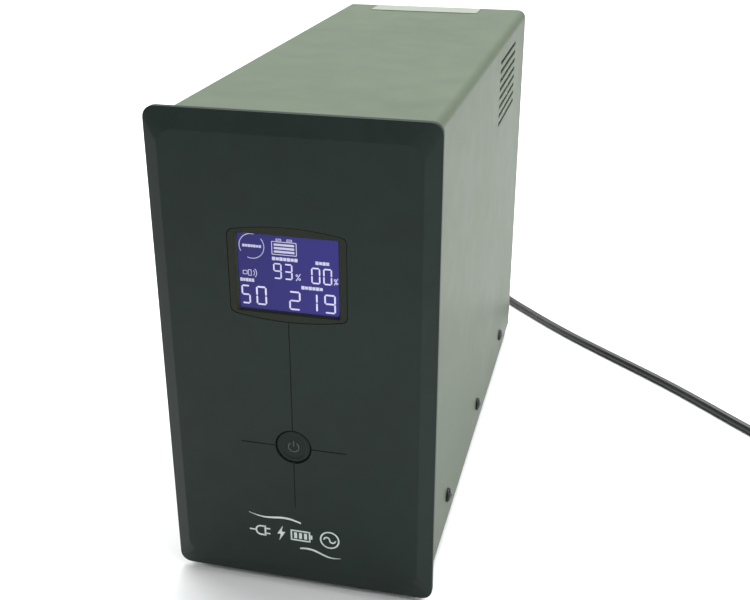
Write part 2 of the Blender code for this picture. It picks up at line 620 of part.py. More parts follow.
def make_guard(centre):
    """Finger guard: rings and four spokes of flat steel, held under the screw heads' corners."""
    low, high = REAR_OUT + GAP, REAR_OUT + GAP + 0.0016
    steel = material("guard_steel", (0.6, 0.6, 0.6), 0.25, 1.0)
    bm = bmesh.new()
    rod(bm, centre, 0.0372, low, high, "Y", 36)
    guard = add_piece("fan_guard", bm, steel)
    for outer, inner in ((0.0352, 0.0286), (0.0266, 0.0200), (0.0180, 0.0114)):
        for quarter in range(4):
            edge = 3.5 * 0.0286 / outer + 1
            start, stop = 45 + 90 * quarter + edge, 135 + 90 * quarter - edge
            outline = arc((0, 0), outer, start, stop, 7) + arc((0, 0), inner, stop, start, 7)
            bm = bmesh.new()
            prism(bm, [(centre[0] + u, centre[1] + v) for u, v in outline], low - 0.002, high + 0.002)
            cut(guard, bm)


def make_outlets():
    """Four earthed two-pin outlets: a square face, a round well and two pin holes in its floor."""
    black = material("outlet_plastic", (0.02, 0.02, 0.02), 0.35)
    face, depth, well = REAR_OUT + GAP + 0.0020, 0.0300, 0.0175
    number = 0
    for z in reversed(OUTLET_ZS):
        for x in OUTLET_XS:
            number += 1
            bm = bmesh.new()
            prism(bm, rounded(OUTLET_FACE, OUTLET_FACE, 0.005, 4, (x, z)), REAR_OUT + GAP, face)
            outlet = add_piece(f"outlet_{number}", bm, black)
            bm = bmesh.new()
            rod(bm, (x, z), OUTLET_BODY, face - depth, face - 0.0005, "Y", 28)
            join(outlet, bm)
            bm = bmesh.new()
            rod(bm, (x, z), OUTLET_WELL, face - well, face + 0.002, "Y", 28)
            cut(outlet, bm)
            bm = bmesh.new()
            for dx in (-0.0095, 0.0095):
                rod(bm, (x + dx, z), 0.0026, face - depth + 0.002, face, "Y", 12)
            cut(outlet, bm)


def make_breaker():
    """Thermal breaker: body with a threaded neck, a nut outside, and a reset button that pops out."""
    centre = (BREAKER_X, BREAKER_Z)
    black = material("black_plastic", (0.02, 0.02, 0.02), 0.4)
    shoulder, neck = REAR_IN - GAP, REAR_OUT + 0.0050
    bm = bmesh.new()
    block(bm, (BREAKER_X - 0.008, shoulder - 0.024, BREAKER_Z - 0.015),
          (BREAKER_X + 0.008, shoulder, BREAKER_Z + 0.015))
    body = add_piece("breaker_body", bm, black)
    bm = bmesh.new()
    rod(bm, centre, 0.0055, shoulder - 0.002, neck, "Y", 16)
    join(body, bm)
    bm = bmesh.new()
    rod(bm, centre, 0.0037, shoulder - 0.012, neck + 0.002, "Y", 16)
    cut(body, bm)
    bm = bmesh.new()
    nut_low, nut_high = REAR_OUT + GAP, REAR_OUT + GAP + 0.0025
    outline = [(BREAKER_X + u, BREAKER_Z + v) for u, v in arc((0, 0), 0.0085, 0, 300, 5)]
    prism(bm, outline, nut_low, nut_high)
    nut = add_piece("breaker_nut", bm, material("nut_steel", (0.6, 0.6, 0.6), 0.3, 1.0))
    bm = bmesh.new()
    rod(bm, centre, 0.0055 + GAP, nut_low - 0.001, nut_high + 0.001, "Y", 16)
    cut(nut, bm)
    tip = HALF_DEPTH
    profile = [(0, tip), (0.0024, tip), (0.0030, tip - 0.0008), (0.0030, tip - 0.0040),
               (0.0033, tip - 0.0045), (0.0033, shoulder - 0.0080), (0, shoulder - 0.0080)]
    bm = bmesh.new()
    turned(bm, profile, centre, "Y", 16)
    add_piece("breaker_button", bm, material("reset_plastic", (0.02, 0.02, 0.02), 0.4),
              (BREAKER_X, tip, BREAKER_Z))


def make_ports():
    """USB socket and a pair of data-line sockets, each a block with open mouths."""
    face = REAR_OUT + 0.0003
    bm = bmesh.new()
    prism(bm, rounded(0.0120, 0.0110, 0.0004, 2, (PORTS_X, USB_Z)), face - 0.0160, face)
    usb = add_piece("usb_port", bm, material("port_metal", (0.6, 0.6, 0.6), 0.3, 1.0))
    bm = bmesh.new()
    mouth = [(-0.0042, -0.0039), (0.0042, -0.0039), (0.0042, 0.0022), (0.0026, 0.0039), (-0.0026, 0.0039),
             (-0.0042, 0.0022)]
    prism(bm, [(PORTS_X + u, USB_Z + v) for u, v in mouth], face - 0.0130, face + 0.002)
    cut(usb, bm)
    bm = bmesh.new()
    prism(bm, rounded(0.0310, 0.0140, 0.0005, 2, (PORTS_X, DATA_Z)), face - 0.0180, face)
    data = add_piece("data_ports", bm, material("black_plastic", (0.02, 0.02, 0.02), 0.4))
    bm = bmesh.new()
    for dx in (-0.0075, 0.0075):
        mouth = [(-0.0058, -0.0034), (0.0058, -0.0034), (0.0058, 0.0034), (0.0032, 0.0034), (0.0032, 0.0050),
                 (-0.0032, 0.0050), (-0.0032, 0.0034), (-0.0058, 0.0034)]
        prism(bm, [(PORTS_X + dx + u, DATA_Z + v) for u, v in mouth], face - 0.0140, face + 0.002)
    cut(data, bm)


# ---------------------------------------------------------------- mains lead

def catmull(points, spacing):
    """Points at an even spacing along a smooth curve through the route's points."""
    points = [Vector(p) for p in points]
    points = [points[0] * 2 - points[1]] + points + [points[-1] * 2 - points[-2]]
    fine = []
    for a, b, c, d in zip(points, points[1:], points[2:], points[3:]):
        for step in range(24):
            t = step / 24
            fine.append(0.5 * (2 * b + (c - a) * t + (2 * a - 5 * b + 4 * c - d) * t ** 2
                               + (3 * b - a - 3 * c + d) * t ** 3))
    fine.append(points[-2])
    walked = [0.0]
    for p, q in zip(fine, fine[1:]):
        walked.append(walked[-1] + (q - p).length)
    count = max(2, round(walked[-1] / spacing))
    even, at = [], 0
    for number in range(count + 1):
        target = walked[-1] * number / count
        while at < len(walked) - 2 and walked[at + 1] < target:
            at += 1
        share = (target - walked[at]) / (walked[at + 1] - walked[at])
        even.append(fine[at].lerp(fine[at + 1], share))
    return even


def make_tube(name, points, finish):
    """Cord of round section along evenly spaced points."""
    curve = bpy.data.curves.new(name, "CURVE")
    curve.dimensions = "3D"
    curve.bevel_depth = CORD_RADIUS
    curve.bevel_resolution = 3
    curve.use_fill_caps = True
    spline = curve.splines.new("POLY")
    spline.points.add(len(points) - 1)
    for point, place in zip(spline.points, points):
        point.co = (*place, 1.0)
    curve.materials.append(finish)
    obj = bpy.data.objects.new(name, curve)
    bpy.context.scene.collection.objects.link(obj)


RELIEF_END = REAR_OUT + RELIEF_LENGTH
FLOOR_Z = CORD_RADIUS + 0.0001

# The lead leaves the relief towards the back, drops to the floor, swings round to the right and
# runs forward past the back corner, then on to the coil.
LEAD_ROUTE = [
    (CORD_EXIT[0], RELIEF_END + GAP, CORD_EXIT[1]),
    (CORD_EXIT[0], RELIEF_END + 0.012, CORD_EXIT[1]),
    (0.0195, RELIEF_END + 0.024, 0.0255),
    (0.0250, RELIEF_END + 0.037, 0.0165),
    (0.0350, RELIEF_END + 0.047, 0.0085),
    (0.0480, RELIEF_END + 0.0505, 0.0045),
    (0.0600, RELIEF_END + 0.0450, FLOOR_Z),
    (0.0720, 0.2430, FLOOR_Z),
    (0.0884, 0.2252, FLOOR_Z),
    (0.1086, 0.2041, FLOOR_Z),
    (0.1279, 0.1854, FLOOR_Z),
    (0.1462, 0.1689, FLOOR_Z),
    (0.1650, 0.1525, FLOOR_Z),
    (0.1900, 0.1310, FLOOR_Z),
    (0.2150, 0.1085, FLOOR_Z),
    (0.2400, 0.0840, FLOOR_Z),
    (0.2600, 0.0637, FLOOR_Z),
    (0.2768, 0.0474, FLOOR_Z),
]


def make_cord():
    """Strain relief, lead, coil with its tie, and the tail to the plug."""
    black = material("cord_rubber", (0.02, 0.02, 0.02), 0.5)
    profile = [(0, REAR_IN - 0.012), (0.0055, REAR_IN - 0.012), (0.0055, REAR_OUT + 0.0004),
               (0.0085, REAR_OUT + 0.0004), (0.0085, REAR_OUT + 0.0030), (0.0062, REAR_OUT + 0.0040),
               (0.0042, RELIEF_END), (0, RELIEF_END)]
    bm = bmesh.new()
    turned(bm, profile, CORD_EXIT, "Y", 20)
    add_piece("cord_strain_relief", bm, black)
    make_tube("mains_cord", catmull(LEAD_ROUTE, 2.2 * CORD_DIAMETER), black)
    make_coil(black)
    make_plug(black)


def make_coil(black):
    """Turned ring that holds two layers of turns, and the tie round it."""
    half = CORD_DIAMETER
    low, high = COIL_LIFT, COIL_LIFT + 2 * CORD_DIAMETER
    section = rounded(2 * half + 0.0004, high - low, 0.0026, 2, (COIL_RADIUS, (low + high) / 2))
    bm = bmesh.new()
    verts = [bm.verts.new((u, 0, v)) for u, v in section]
    edges = [bm.edges.new(pair) for pair in zip(verts, verts[1:] + verts[:1])]
    bmesh.ops.spin(bm, geom=verts + edges, cent=(0, 0, 0), axis=(0, 0, 1), angle=2 * pi, steps=36,
                   use_merge=True, use_duplicate=False)
    bmesh.ops.remove_doubles(bm, verts=bm.verts, dist=1e-6)
    bmesh.ops.translate(bm, vec=(*COIL_CENTRE, 0), verts=bm.verts)
    add_piece("cord_coil", bm, black)
    gap, wall, half_length = 0.0008, 0.0005, 0.005
    middle = (0.0, (low + high) / 2)
    grow = 2 * (gap + wall)
    place = (COIL_CENTRE[0] + COIL_RADIUS * cos(TIE_ANGLE), COIL_CENTRE[1] + COIL_RADIUS * sin(TIE_ANGLE), 0)
    along_turns = Matrix.Translation(place) @ Matrix.Rotation(TIE_ANGLE, 4, "Z")
    bm = bmesh.new()
    prism(bm, rounded(2 * half + grow, high - low + 2 * COIL_LIFT, 0.0026, 2, middle),
          -half_length, half_length)
    bmesh.ops.transform(bm, matrix=along_turns, verts=bm.verts)
    tie = add_piece("coil_tie", bm, material("tie_fabric", (0.03, 0.03, 0.03), 0.8))
    bm = bmesh.new()
    prism(bm, rounded(2 * half + grow - 2 * wall, high - low + 2 * COIL_LIFT - 2 * wall, 0.0026, 2, middle),
          -0.010, 0.010)
    bmesh.ops.transform(bm, matrix=along_turns, verts=bm.verts)
    cut(tie, bm)


def make_plug(black):
    """Round moulded plug on its side: tapered tail, body and two pins."""
    r = PLUG_RADIUS
    profile = [(0, 0), (0.0045, 0), (0.0065, 0.014), (0.0110, 0.018), (0.0155, 0.026), (r, 0.034),
               (r, 0.050), (r - 0.001, 0.051), (0, 0.051)]
    bm = bmesh.new()
    turned(bm, [(radius, PLUG_Y + y) for radius, y in profile], (PLUG_X, r), "Y", 24)
    plug = add_piece("mains_plug", bm, black)
    bm = bmesh.new()
    for dx in (-0.0095, 0.0095):
        rod(bm, (PLUG_X + dx, r), 0.0024, PLUG_Y + 0.049, PLUG_Y + 0.070, "Y", 12)
    join(plug, bm)
    tail_radius = COIL_RADIUS + CORD_RADIUS
    top = COIL_LIFT + 1.5 * CORD_DIAMETER
    tail = [
        (COIL_CENTRE[0] + tail_radius, COIL_CENTRE[1] + 0.025, top),
        (COIL_CENTRE[0] + tail_radius + 0.0030, COIL_CENTRE[1] + 0.034, top + 0.0025),
        (PLUG_X, PLUG_Y - 0.0085, r),
        (PLUG_X, PLUG_Y - 2 * GAP, r),
    ]
    make_tube("cord_tail", catmull(tail, 0.6 * CORD_DIAMETER), black)


# ---------------------------------------------------------------- assembly

for old in list(bpy.data.objects):
    bpy.data.objects.remove(old)

make_cover()
make_chassis()
make_feet()
make_case_screws()
make_label()
make_front_panel()
make_display()
make_front_board()
make_power_button()
make_batteries()
make_battery_strap()
make_shelf()
make_main_board()
make_transformer()
make_ribbon()
make_rear_panel()
make_fan()
make_outlets()
make_breaker()
make_ports()
make_cord()
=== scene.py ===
from math import atan2, cos, pi, radians, sin, sqrt

import bmesh
import bpy
from mathutils import Matrix, Vector


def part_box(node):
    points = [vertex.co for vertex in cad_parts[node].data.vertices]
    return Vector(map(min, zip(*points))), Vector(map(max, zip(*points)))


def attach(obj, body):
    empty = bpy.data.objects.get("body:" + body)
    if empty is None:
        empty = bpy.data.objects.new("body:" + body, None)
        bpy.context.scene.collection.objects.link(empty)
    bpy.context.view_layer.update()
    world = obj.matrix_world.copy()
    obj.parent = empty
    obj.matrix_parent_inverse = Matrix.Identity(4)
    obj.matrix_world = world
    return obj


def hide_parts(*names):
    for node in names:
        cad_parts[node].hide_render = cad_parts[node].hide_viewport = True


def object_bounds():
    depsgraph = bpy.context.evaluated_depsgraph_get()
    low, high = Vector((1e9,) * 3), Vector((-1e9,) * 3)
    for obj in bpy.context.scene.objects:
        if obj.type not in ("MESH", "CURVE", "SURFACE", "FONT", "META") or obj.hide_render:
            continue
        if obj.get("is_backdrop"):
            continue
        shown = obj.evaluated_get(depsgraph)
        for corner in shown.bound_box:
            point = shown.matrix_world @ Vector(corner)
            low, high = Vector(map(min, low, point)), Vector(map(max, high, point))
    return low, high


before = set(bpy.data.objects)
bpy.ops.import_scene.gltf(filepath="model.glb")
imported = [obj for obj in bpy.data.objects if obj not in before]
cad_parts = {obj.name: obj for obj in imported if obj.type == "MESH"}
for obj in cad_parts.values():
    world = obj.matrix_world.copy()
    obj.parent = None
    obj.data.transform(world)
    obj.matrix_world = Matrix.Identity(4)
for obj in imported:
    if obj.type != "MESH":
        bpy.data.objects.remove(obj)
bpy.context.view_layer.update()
scene = bpy.context.scene

# ---------------------------------------------------------------- studio
# A pale floor and broad soft lamps, with the camera a little above the front right corner,
# as a shop picture of such a tower is taken.

scene.view_settings.view_transform = "Standard"

camera_data = bpy.data.cameras.new("camera")
camera_data.sensor_width = 36.0
camera_data.lens = 51.1
camera = bpy.data.objects.new("camera", camera_data)
camera.location = (0.1640, -0.6759, 0.4117)
camera.rotation_euler = (radians(66.07), 0.0, radians(13.89))
scene.collection.objects.link(camera)
scene.camera = camera


def soft_lamp(name, place, towards, size, watts):
    """A square area lamp that faces a point."""
    data = bpy.data.lights.new(name, "AREA")
    data.size = size
    data.energy = watts
    lamp = bpy.data.objects.new(name, data)
    lamp.location = place
    lamp.rotation_euler = (Vector(towards) - Vector(place)).to_track_quat("-Z", "Y").to_euler()
    scene.collection.objects.link(lamp)


soft_lamp("lamp_above", (0.30, 0.45, 1.80), (0.0, 0.0, 0.15), 1.60, 26.0)
soft_lamp("lamp_right", (1.10, -0.60, 1.00), (0.0, 0.0, 0.20), 0.90, 13.5)
soft_lamp("lamp_left", (-1.40, 0.60, 1.30), (-0.50, 0.30, 0.0), 1.00, 16.0)
soft_lamp("lamp_back", (-0.20, 1.90, 3.20), (-0.20, 1.80, 0.0), 2.60, 170.0)

world = bpy.data.worlds.new("studio")
world.use_nodes = True
world.node_tree.nodes["Background"].inputs["Color"].default_value = (0.97, 0.99, 1.0, 1.0)
world.node_tree.nodes["Background"].inputs["Strength"].default_value = 0.38
scene.world = world


def new_material(name, colour, roughness, metallic=0.0, specular=0.5):
    """A Principled material. Returns it with its node tree, its shader and the object's coordinates."""
    made = bpy.data.materials.new(name)
    made.use_nodes = True
    shader = made.node_tree.nodes["Principled BSDF"]
    shader.inputs["Base Color"].default_value = (*colour, 1.0)
    shader.inputs["Roughness"].default_value = roughness
    shader.inputs["Metallic"].default_value = metallic
    shader.inputs["Specular IOR Level"].default_value = specular
    place = made.node_tree.nodes.new("ShaderNodeTexCoord").outputs["Object"]
    return made, made.node_tree, shader, place


def add_node(tree, kind, links=(), **settings):
    """A shader node with its properties and inputs set by name, and (input, output) pairs linked."""
    made = tree.nodes.new("ShaderNode" + kind)
    for name, value in settings.items():
        if hasattr(made, name):
            setattr(made, name, value)
        else:
            made.inputs[name.replace("_", " ").title()].default_value = value
    for socket, source in links:
        tree.links.new(source, made.inputs[socket])
    return made


def start_group(name, inputs, outputs):
    """An empty shader node group with named sockets. Returns it with its input and output nodes."""
    group = bpy.data.node_groups.new(name, "ShaderNodeTree")
    for socket, kind, value in inputs:
        made = group.interface.new_socket(socket, in_out="INPUT", socket_type="NodeSocket" + kind)
        if kind != "Vector":
            made.default_value = value
    for socket, kind in outputs:
        group.interface.new_socket(socket, in_out="OUTPUT", socket_type="NodeSocket" + kind)
    return group, group.nodes.new("NodeGroupInput").outputs, group.nodes.new("NodeGroupOutput").inputs


def make_patchy_tone():
    """Cloudy light and dark of a coated or moulded surface: the tinted colour, and the clouds as a mask."""
    group, given, out = start_group(
        "patchy_tone",
        [("Vector", "Vector", None), ("Colour", "Color", (0.5, 0.5, 0.5, 1.0)),
         ("Size", "Float", 10.0), ("Strength", "Float", 0.2)],
        [("Colour", "Color"), ("Clouds", "Float")])
    broad = add_node(group, "TexNoise", [("Vector", given["Vector"]), ("Scale", given["Size"])], Detail=3.0)
    finer = add_node(group, "Math", [(0, given["Size"])], operation="MULTIPLY")
    finer.inputs[1].default_value = 9.0
    small = add_node(group, "TexNoise", [("Vector", given["Vector"]), ("Scale", finer.outputs[0])],
                     Detail=2.0)
    both = add_node(group, "Mix", [("A", broad.outputs["Fac"]), ("B", small.outputs["Fac"])], Factor=0.35)
    centred = add_node(group, "MapRange", [("Value", both.outputs["Result"])],
                       From_Min=0.3, From_Max=0.7, To_Min=-1.0, To_Max=1.0)
    swing = add_node(group, "Math", [(0, centred.outputs["Result"]), (1, given["Strength"])],
                     operation="MULTIPLY")
    gain = add_node(group, "Math", [(0, swing.outputs[0])], operation="ADD")
    gain.inputs[1].default_value = 1.0
    tint = add_node(group, "VectorMath", [(0, given["Colour"])], operation="SCALE")
    group.links.new(gain.outputs[0], tint.inputs["Scale"])
    group.links.new(tint.outputs["Vector"], out["Colour"])
    group.links.new(both.outputs["Result"], out["Clouds"])
    return group


def make_fine_grain():
    """Height of a grained surface: round pips from cells, over an uneven ground."""
    group, given, out = start_group(
        "fine_grain",
        [("Vector", "Vector", None), ("Size", "Float", 1000.0), ("Pips", "Float", 0.5)],
        [("Height", "Float")])
    ground = add_node(group, "TexNoise", [("Vector", given["Vector"]), ("Scale", given["Size"])], Detail=3.0)
    cells = add_node(group, "TexVoronoi", [("Vector", given["Vector"]), ("Scale", given["Size"])],
                     feature="SMOOTH_F1")
    mixed = add_node(group, "Mix", [("Factor", given["Pips"]), ("A", ground.outputs["Fac"]),
                                    ("B", cells.outputs["Distance"])])
    group.links.new(mixed.outputs["Result"], out["Height"])
    return group


def make_hairline_scuffs():
    """Mask of a few faint rub marks, drawn out along one axis."""
    group, given, out = start_group(
        "hairline_scuffs",
        [("Vector", "Vector", None), ("Stretch", "Vector", None), ("Cover", "Float", 0.3)],
        [("Mask", "Float")])
    drawn = add_node(group, "VectorMath", [(0, given["Vector"]), (1, given["Stretch"])],
                     operation="MULTIPLY")
    lines = add_node(group, "TexNoise", [("Vector", drawn.outputs["Vector"])], Scale=1.0, Detail=2.0)
    where = add_node(group, "TexNoise", [("Vector", given["Vector"])], Scale=16.0, Detail=1.0)
    product = add_node(group, "Math", [(0, lines.outputs["Fac"]), (1, where.outputs["Fac"])],
                       operation="MULTIPLY")
    start = add_node(group, "MapRange", [("Value", given["Cover"])], To_Min=0.45, To_Max=0.20)
    end = add_node(group, "Math", [(0, start.outputs["Result"])], operation="ADD")
    end.inputs[1].default_value = 0.08
    mask = add_node(group, "MapRange", [("Value", product.outputs[0]), ("From Min", start.outputs["Result"]),
                                        ("From Max", end.outputs[0])])
    group.links.new(mask.outputs["Result"], out["Mask"])
    return group


patchy_tone, fine_grain, hairline_scuffs = make_patchy_tone(), make_fine_grain(), make_hairline_scuffs()


def use_group(tree, group, links=(), **values):
    """Places a shader node group and sets its values."""
    made = tree.nodes.new("ShaderNodeGroup")
    made.node_tree = group
    for name, value in values.items():
        made.inputs[name].default_value = value
    for socket, source in links:
        tree.links.new(source, made.inputs[socket])
    return made


def two_tone(tree, value, dark, light):
    """A colour that goes from dark to light with a value."""
    ramp = add_node(tree, "ValToRGB", [("Fac", value)])
    ramp.color_ramp.elements[0].color = (*dark, 1.0)
    ramp.color_ramp.elements[1].color = (*light, 1.0)
    return ramp.outputs["Color"]


def raise_surface(tree, shader, height, distance):
    """Raises the shaded surface by a height value, up to a distance in metres."""
    bump = add_node(tree, "Bump", [("Height", height)], Distance=distance)
    tree.links.new(bump.outputs["Normal"], shader.inputs["Normal"])


def grained(name, colour, roughness, grain, height, *, metallic=0.0, specular=0.5, pips=0.5,
            cloud=12.0, strength=0.12, spread=0.06, scuffs=0.0, stretch=(900.0, 14.0, 14.0)):
    """A coated or moulded finish: clouded colour and roughness, faint rub marks, and a grained surface.

    grain is in pips to the metre and height in metres.
    """
    made, tree, shader, place = new_material(name, colour, roughness, metallic, specular)
    tone = use_group(tree, patchy_tone, [("Vector", place)], Colour=(*colour, 1.0), Size=cloud,
                     Strength=strength)
    rubbed = use_group(tree, hairline_scuffs, [("Vector", place)], Stretch=stretch, Cover=scuffs)
    pale = add_node(tree, "MapRange", [("Value", rubbed.outputs["Mask"])], To_Min=0.0, To_Max=0.35 * scuffs)
    worn = add_node(tree, "Mix", data_type="RGBA")
    tree.links.new(pale.outputs["Result"], worn.inputs["Factor"])
    tree.links.new(tone.outputs["Colour"], worn.inputs[6])
    worn.inputs[7].default_value = (*[min(1.0, c + 0.25) for c in colour], 1.0)
    tree.links.new(worn.outputs[2], shader.inputs["Base Color"])
    dull = add_node(tree, "MapRange", [("Value", tone.outputs["Clouds"])], From_Min=0.3, From_Max=0.7,
                    To_Min=roughness - spread, To_Max=roughness + spread)
    tree.links.new(dull.outputs["Result"], shader.inputs["Roughness"])
    pipped = use_group(tree, fine_grain, [("Vector", place)], Size=grain, Pips=pips)
    raise_surface(tree, shader, pipped.outputs["Height"], height)
    return made


floor_paint = grained("floor_paint", (0.78, 0.79, 0.79), 0.8, 400.0, 0.00002, strength=0.01, cloud=2.0)
bm = bmesh.new()
bmesh.ops.create_grid(bm, x_segments=1, y_segments=1, size=8.0)
floor_mesh = bpy.data.meshes.new("floor")
bm.to_mesh(floor_mesh)
bm.free()
floor_mesh.materials.append(floor_paint)
floor = bpy.data.objects.new("floor", floor_mesh)
scene.collection.objects.link(floor)
floor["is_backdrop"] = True

# ---------------------------------------------------------------- mains lead
# One round three-core lead in black PVC, 6.4 mm thick. It leaves the relief, drops to the floor,
# swings round the back corner and ends in a small coil of three turns with the plug beside it.

CORD_DIAMETER = 0.0064
CORD_RADIUS = CORD_DIAMETER / 2
FLOOR_Z = CORD_RADIUS + 0.0001
RELIEF_END = 0.2118
CORD_EXIT = (0.018, RELIEF_END, 0.030)
LEAD_ROUTE = [
    (0.0180, RELIEF_END + 0.0003, 0.0300), (0.0180, RELIEF_END + 0.0120, 0.0300),
    (0.0195, RELIEF_END + 0.0240, 0.0255), (0.0250, RELIEF_END + 0.0370, 0.0165),
    (0.0350, RELIEF_END + 0.0470, 0.0085), (0.0480, RELIEF_END + 0.0505, 0.0045),
    (0.0600, RELIEF_END + 0.0450, FLOOR_Z), (0.0720, 0.2430, FLOOR_Z),
    (0.0884, 0.2252, FLOOR_Z), (0.1086, 0.2041, FLOOR_Z), (0.1279, 0.1854, FLOOR_Z),
    (0.1462, 0.1689, FLOOR_Z), (0.1650, 0.1525, FLOOR_Z), (0.1900, 0.1310, FLOOR_Z),
    (0.2150, 0.1085, FLOOR_Z), (0.2400, 0.0840, FLOOR_Z), (0.2600, 0.0637, FLOOR_Z),
    (0.2768, 0.0474, FLOOR_Z),
]
COIL_CENTRE = (0.3226, 0.0594)
COIL_INNER, COIL_OUTER = 0.0333, 0.0397
COIL_LOW, COIL_HIGH = 0.0042, 0.0106
COIL_START = 228                 # degrees round the coil where the lead comes in
ROLL_START, ROLL_END = 138, 218  # stretch where each turn rolls onto the next track
PLUG_PLACE = (0.372, 0.110, 0.0185)


def smooth_share(value, low, high):
    """0 before low, 1 after high, and an even swell between them."""
    t = min(1.0, max(0.0, (value - low) / (high - low)))
    return t * t * (3 - 2 * t)


def coil_point(degrees):
    """Where the cord's centre runs: low outer turn, low inner turn, high inner turn, high outer end."""
    turn = 360
    inward = smooth_share(degrees, ROLL_START + turn, ROLL_END + turn) * pi / 2
    climb = smooth_share(degrees, ROLL_START + 2 * turn, ROLL_END + 2 * turn) * pi / 2
    outward = smooth_share(degrees, ROLL_START + 3 * turn, ROLL_END + 3 * turn) * pi / 2
    radius = COIL_INNER + (COIL_OUTER - COIL_INNER) * (cos(inward) + sqrt(1 - (1 - sin(outward)) ** 2))
    height = COIL_LOW + (COIL_HIGH - COIL_LOW) * sin(climb)
    height -= (COIL_LOW - FLOOR_Z) * (1 - smooth_share(degrees, COIL_START, COIL_START + 40))
    angle = radians(degrees)
    return (COIL_CENTRE[0] + radius * cos(angle), COIL_CENTRE[1] + radius * sin(angle), height)


def smooth_line(points, spacing):
    """Points at an even spacing along a smooth curve through the route's points."""
    points = [Vector(p) for p in points]
    points = [points[0] * 2 - points[1]] + points + [points[-1] * 2 - points[-2]]
    fine = []
    for a, b, c, d in zip(points, points[1:], points[2:], points[3:]):
        for step in range(24):
            t = step / 24
            fine.append(0.5 * (2 * b + (c - a) * t + (2 * a - 5 * b + 4 * c - d) * t ** 2
                               + (3 * b - a - 3 * c + d) * t ** 3))
    fine.append(points[-2])
    walked = [0.0]
    for p, q in zip(fine, fine[1:]):
        walked.append(walked[-1] + (q - p).length)
    count = max(2, round(walked[-1] / spacing))
    even, at = [], 0
    for number in range(count + 1):
        target = walked[-1] * number / count
        while at < len(walked) - 2 and walked[at + 1] < target:
            at += 1
        share = (target - walked[at]) / (walked[at + 1] - walked[at])
        even.append(fine[at].lerp(fine[at + 1], share))
    return even


coil_route = [coil_point(degrees) for degrees in range(COIL_START, 4 * 360 + 1, 12)]
tail_route = [(0.3623, 0.0720, COIL_HIGH), (0.3623, 0.0844, COIL_HIGH), (0.3653, 0.0934, 0.0131),
              (PLUG_PLACE[0], 0.1015, PLUG_PLACE[2]), (PLUG_PLACE[0], 0.1094, PLUG_PLACE[2])]
route = smooth_line(LEAD_ROUTE + coil_route + tail_route, 0.004)

cord_curve = bpy.data.curves.new("mains_lead", "CURVE")
cord_curve.dimensions = "3D"
cord_curve.bevel_depth = 1.0      # each point carries the radius
cord_curve.bevel_resolution = 5
cord_curve.use_fill_caps = True
spline = cord_curve.splines.new("POLY")
spline.points.add(len(route) - 1)
for point, place in zip(spline.points, route):
    point.co = (*place, 1.0)
    point.radius = CORD_RADIUS
mains_lead = bpy.data.objects.new("mains_lead", cord_curve)
scene.collection.objects.link(mains_lead)
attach(mains_lead, "housing")
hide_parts("mains_cord", "cord_coil", "cord_tail")

cord_rubber = grained("cord_rubber", (0.012, 0.012, 0.013), 0.42, 900.0, 0.00004, specular=0.45,
                      cloud=40.0, strength=0.35, scuffs=0.4, stretch=(500.0, 500.0, 60.0))
cord_curve.materials.append(cord_rubber)


def turned(profile, centre, axis="Y", sides=48):
    """Turns (radius, station) points about an axis through a point. Ends of the profile lie on the axis."""
    facing = {"X": Matrix.Rotation(pi / 2, 4, "Y"), "Y": Matrix.Rotation(-pi / 2, 4, "X"), "Z": Matrix()}
    bm = bmesh.new()
    verts = [bm.verts.new((radius, 0, station)) for radius, station in profile]
    edges = [bm.edges.new(pair) for pair in zip(verts, verts[1:])]
    bmesh.ops.spin(bm, geom=verts + edges, cent=(0, 0, 0), axis=(0, 0, 1), angle=2 * pi, steps=sides,
                   use_merge=True, use_duplicate=False)
    bmesh.ops.remove_doubles(bm, verts=bm.verts, dist=1e-6)
    bmesh.ops.transform(bm, matrix=Matrix.Translation(centre) @ facing[axis], verts=bm.verts)
    bmesh.ops.recalc_face_normals(bm, faces=bm.faces)
    return bm


def add_piece(name, bm, finish, slot, *stands_for, body="housing", weighted=True):
    """A finished bmesh, drawn in place, becomes a piece that rides on a body."""
    mesh = bpy.data.meshes.new(name)
    bm.to_mesh(mesh)
    bm.free()
    mesh.shade_smooth()
    mesh.set_sharp_from_angle(angle=radians(38))
    mesh.materials.append(finish)
    piece = bpy.data.objects.new(name, mesh)
    scene.collection.objects.link(piece)
    if weighted:
        normals = piece.modifiers.new("even_normals", "WEIGHTED_NORMAL")
        normals.keep_sharp = True
        normals.weight = 100
    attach(piece, body)
    if stands_for:
        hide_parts(*stands_for)
    return piece


# ---------------------------------------------------------------- strain relief
# A black rubber boot with a flange outside the rear panel and six rings that let it bend.
# It is moulded onto the lead and snapped into its hole.

RING_COUNT, RING_PITCH = 6, 0.0034
REAR_OUT = 0.1858                # outside of the rear panel
boot = [(0.0, REAR_OUT - 0.0130), (0.0052, REAR_OUT - 0.0130), (0.0055, REAR_OUT - 0.0120),
        (0.0055, REAR_OUT + 0.0004), (0.0080, REAR_OUT + 0.0004), (0.0085, REAR_OUT + 0.0008),
        (0.0085, REAR_OUT + 0.0026), (0.0080, REAR_OUT + 0.0031), (0.0064, REAR_OUT + 0.0034)]
for ring in range(RING_COUNT):
    start = REAR_OUT + 0.0042 + ring * RING_PITCH
    outside = 0.0062 - 0.0020 * ring / RING_COUNT
    boot += [(outside, start), (outside - 0.0001, start + 0.0017), (outside - 0.0004, start + 0.0020),
             (0.0037, start + 0.0021), (0.0037, start + 0.0030), (outside - 0.0006, start + 0.0032)]
boot += [(0.0041, RELIEF_END - 0.0004), (0.0038, RELIEF_END), (0.0, RELIEF_END)]
relief_boot = add_piece("relief_boot", turned(boot, (CORD_EXIT[0], 0.0, CORD_EXIT[2]), sides=40),
                        cord_rubber, "cord_rubber", "cord_strain_relief")

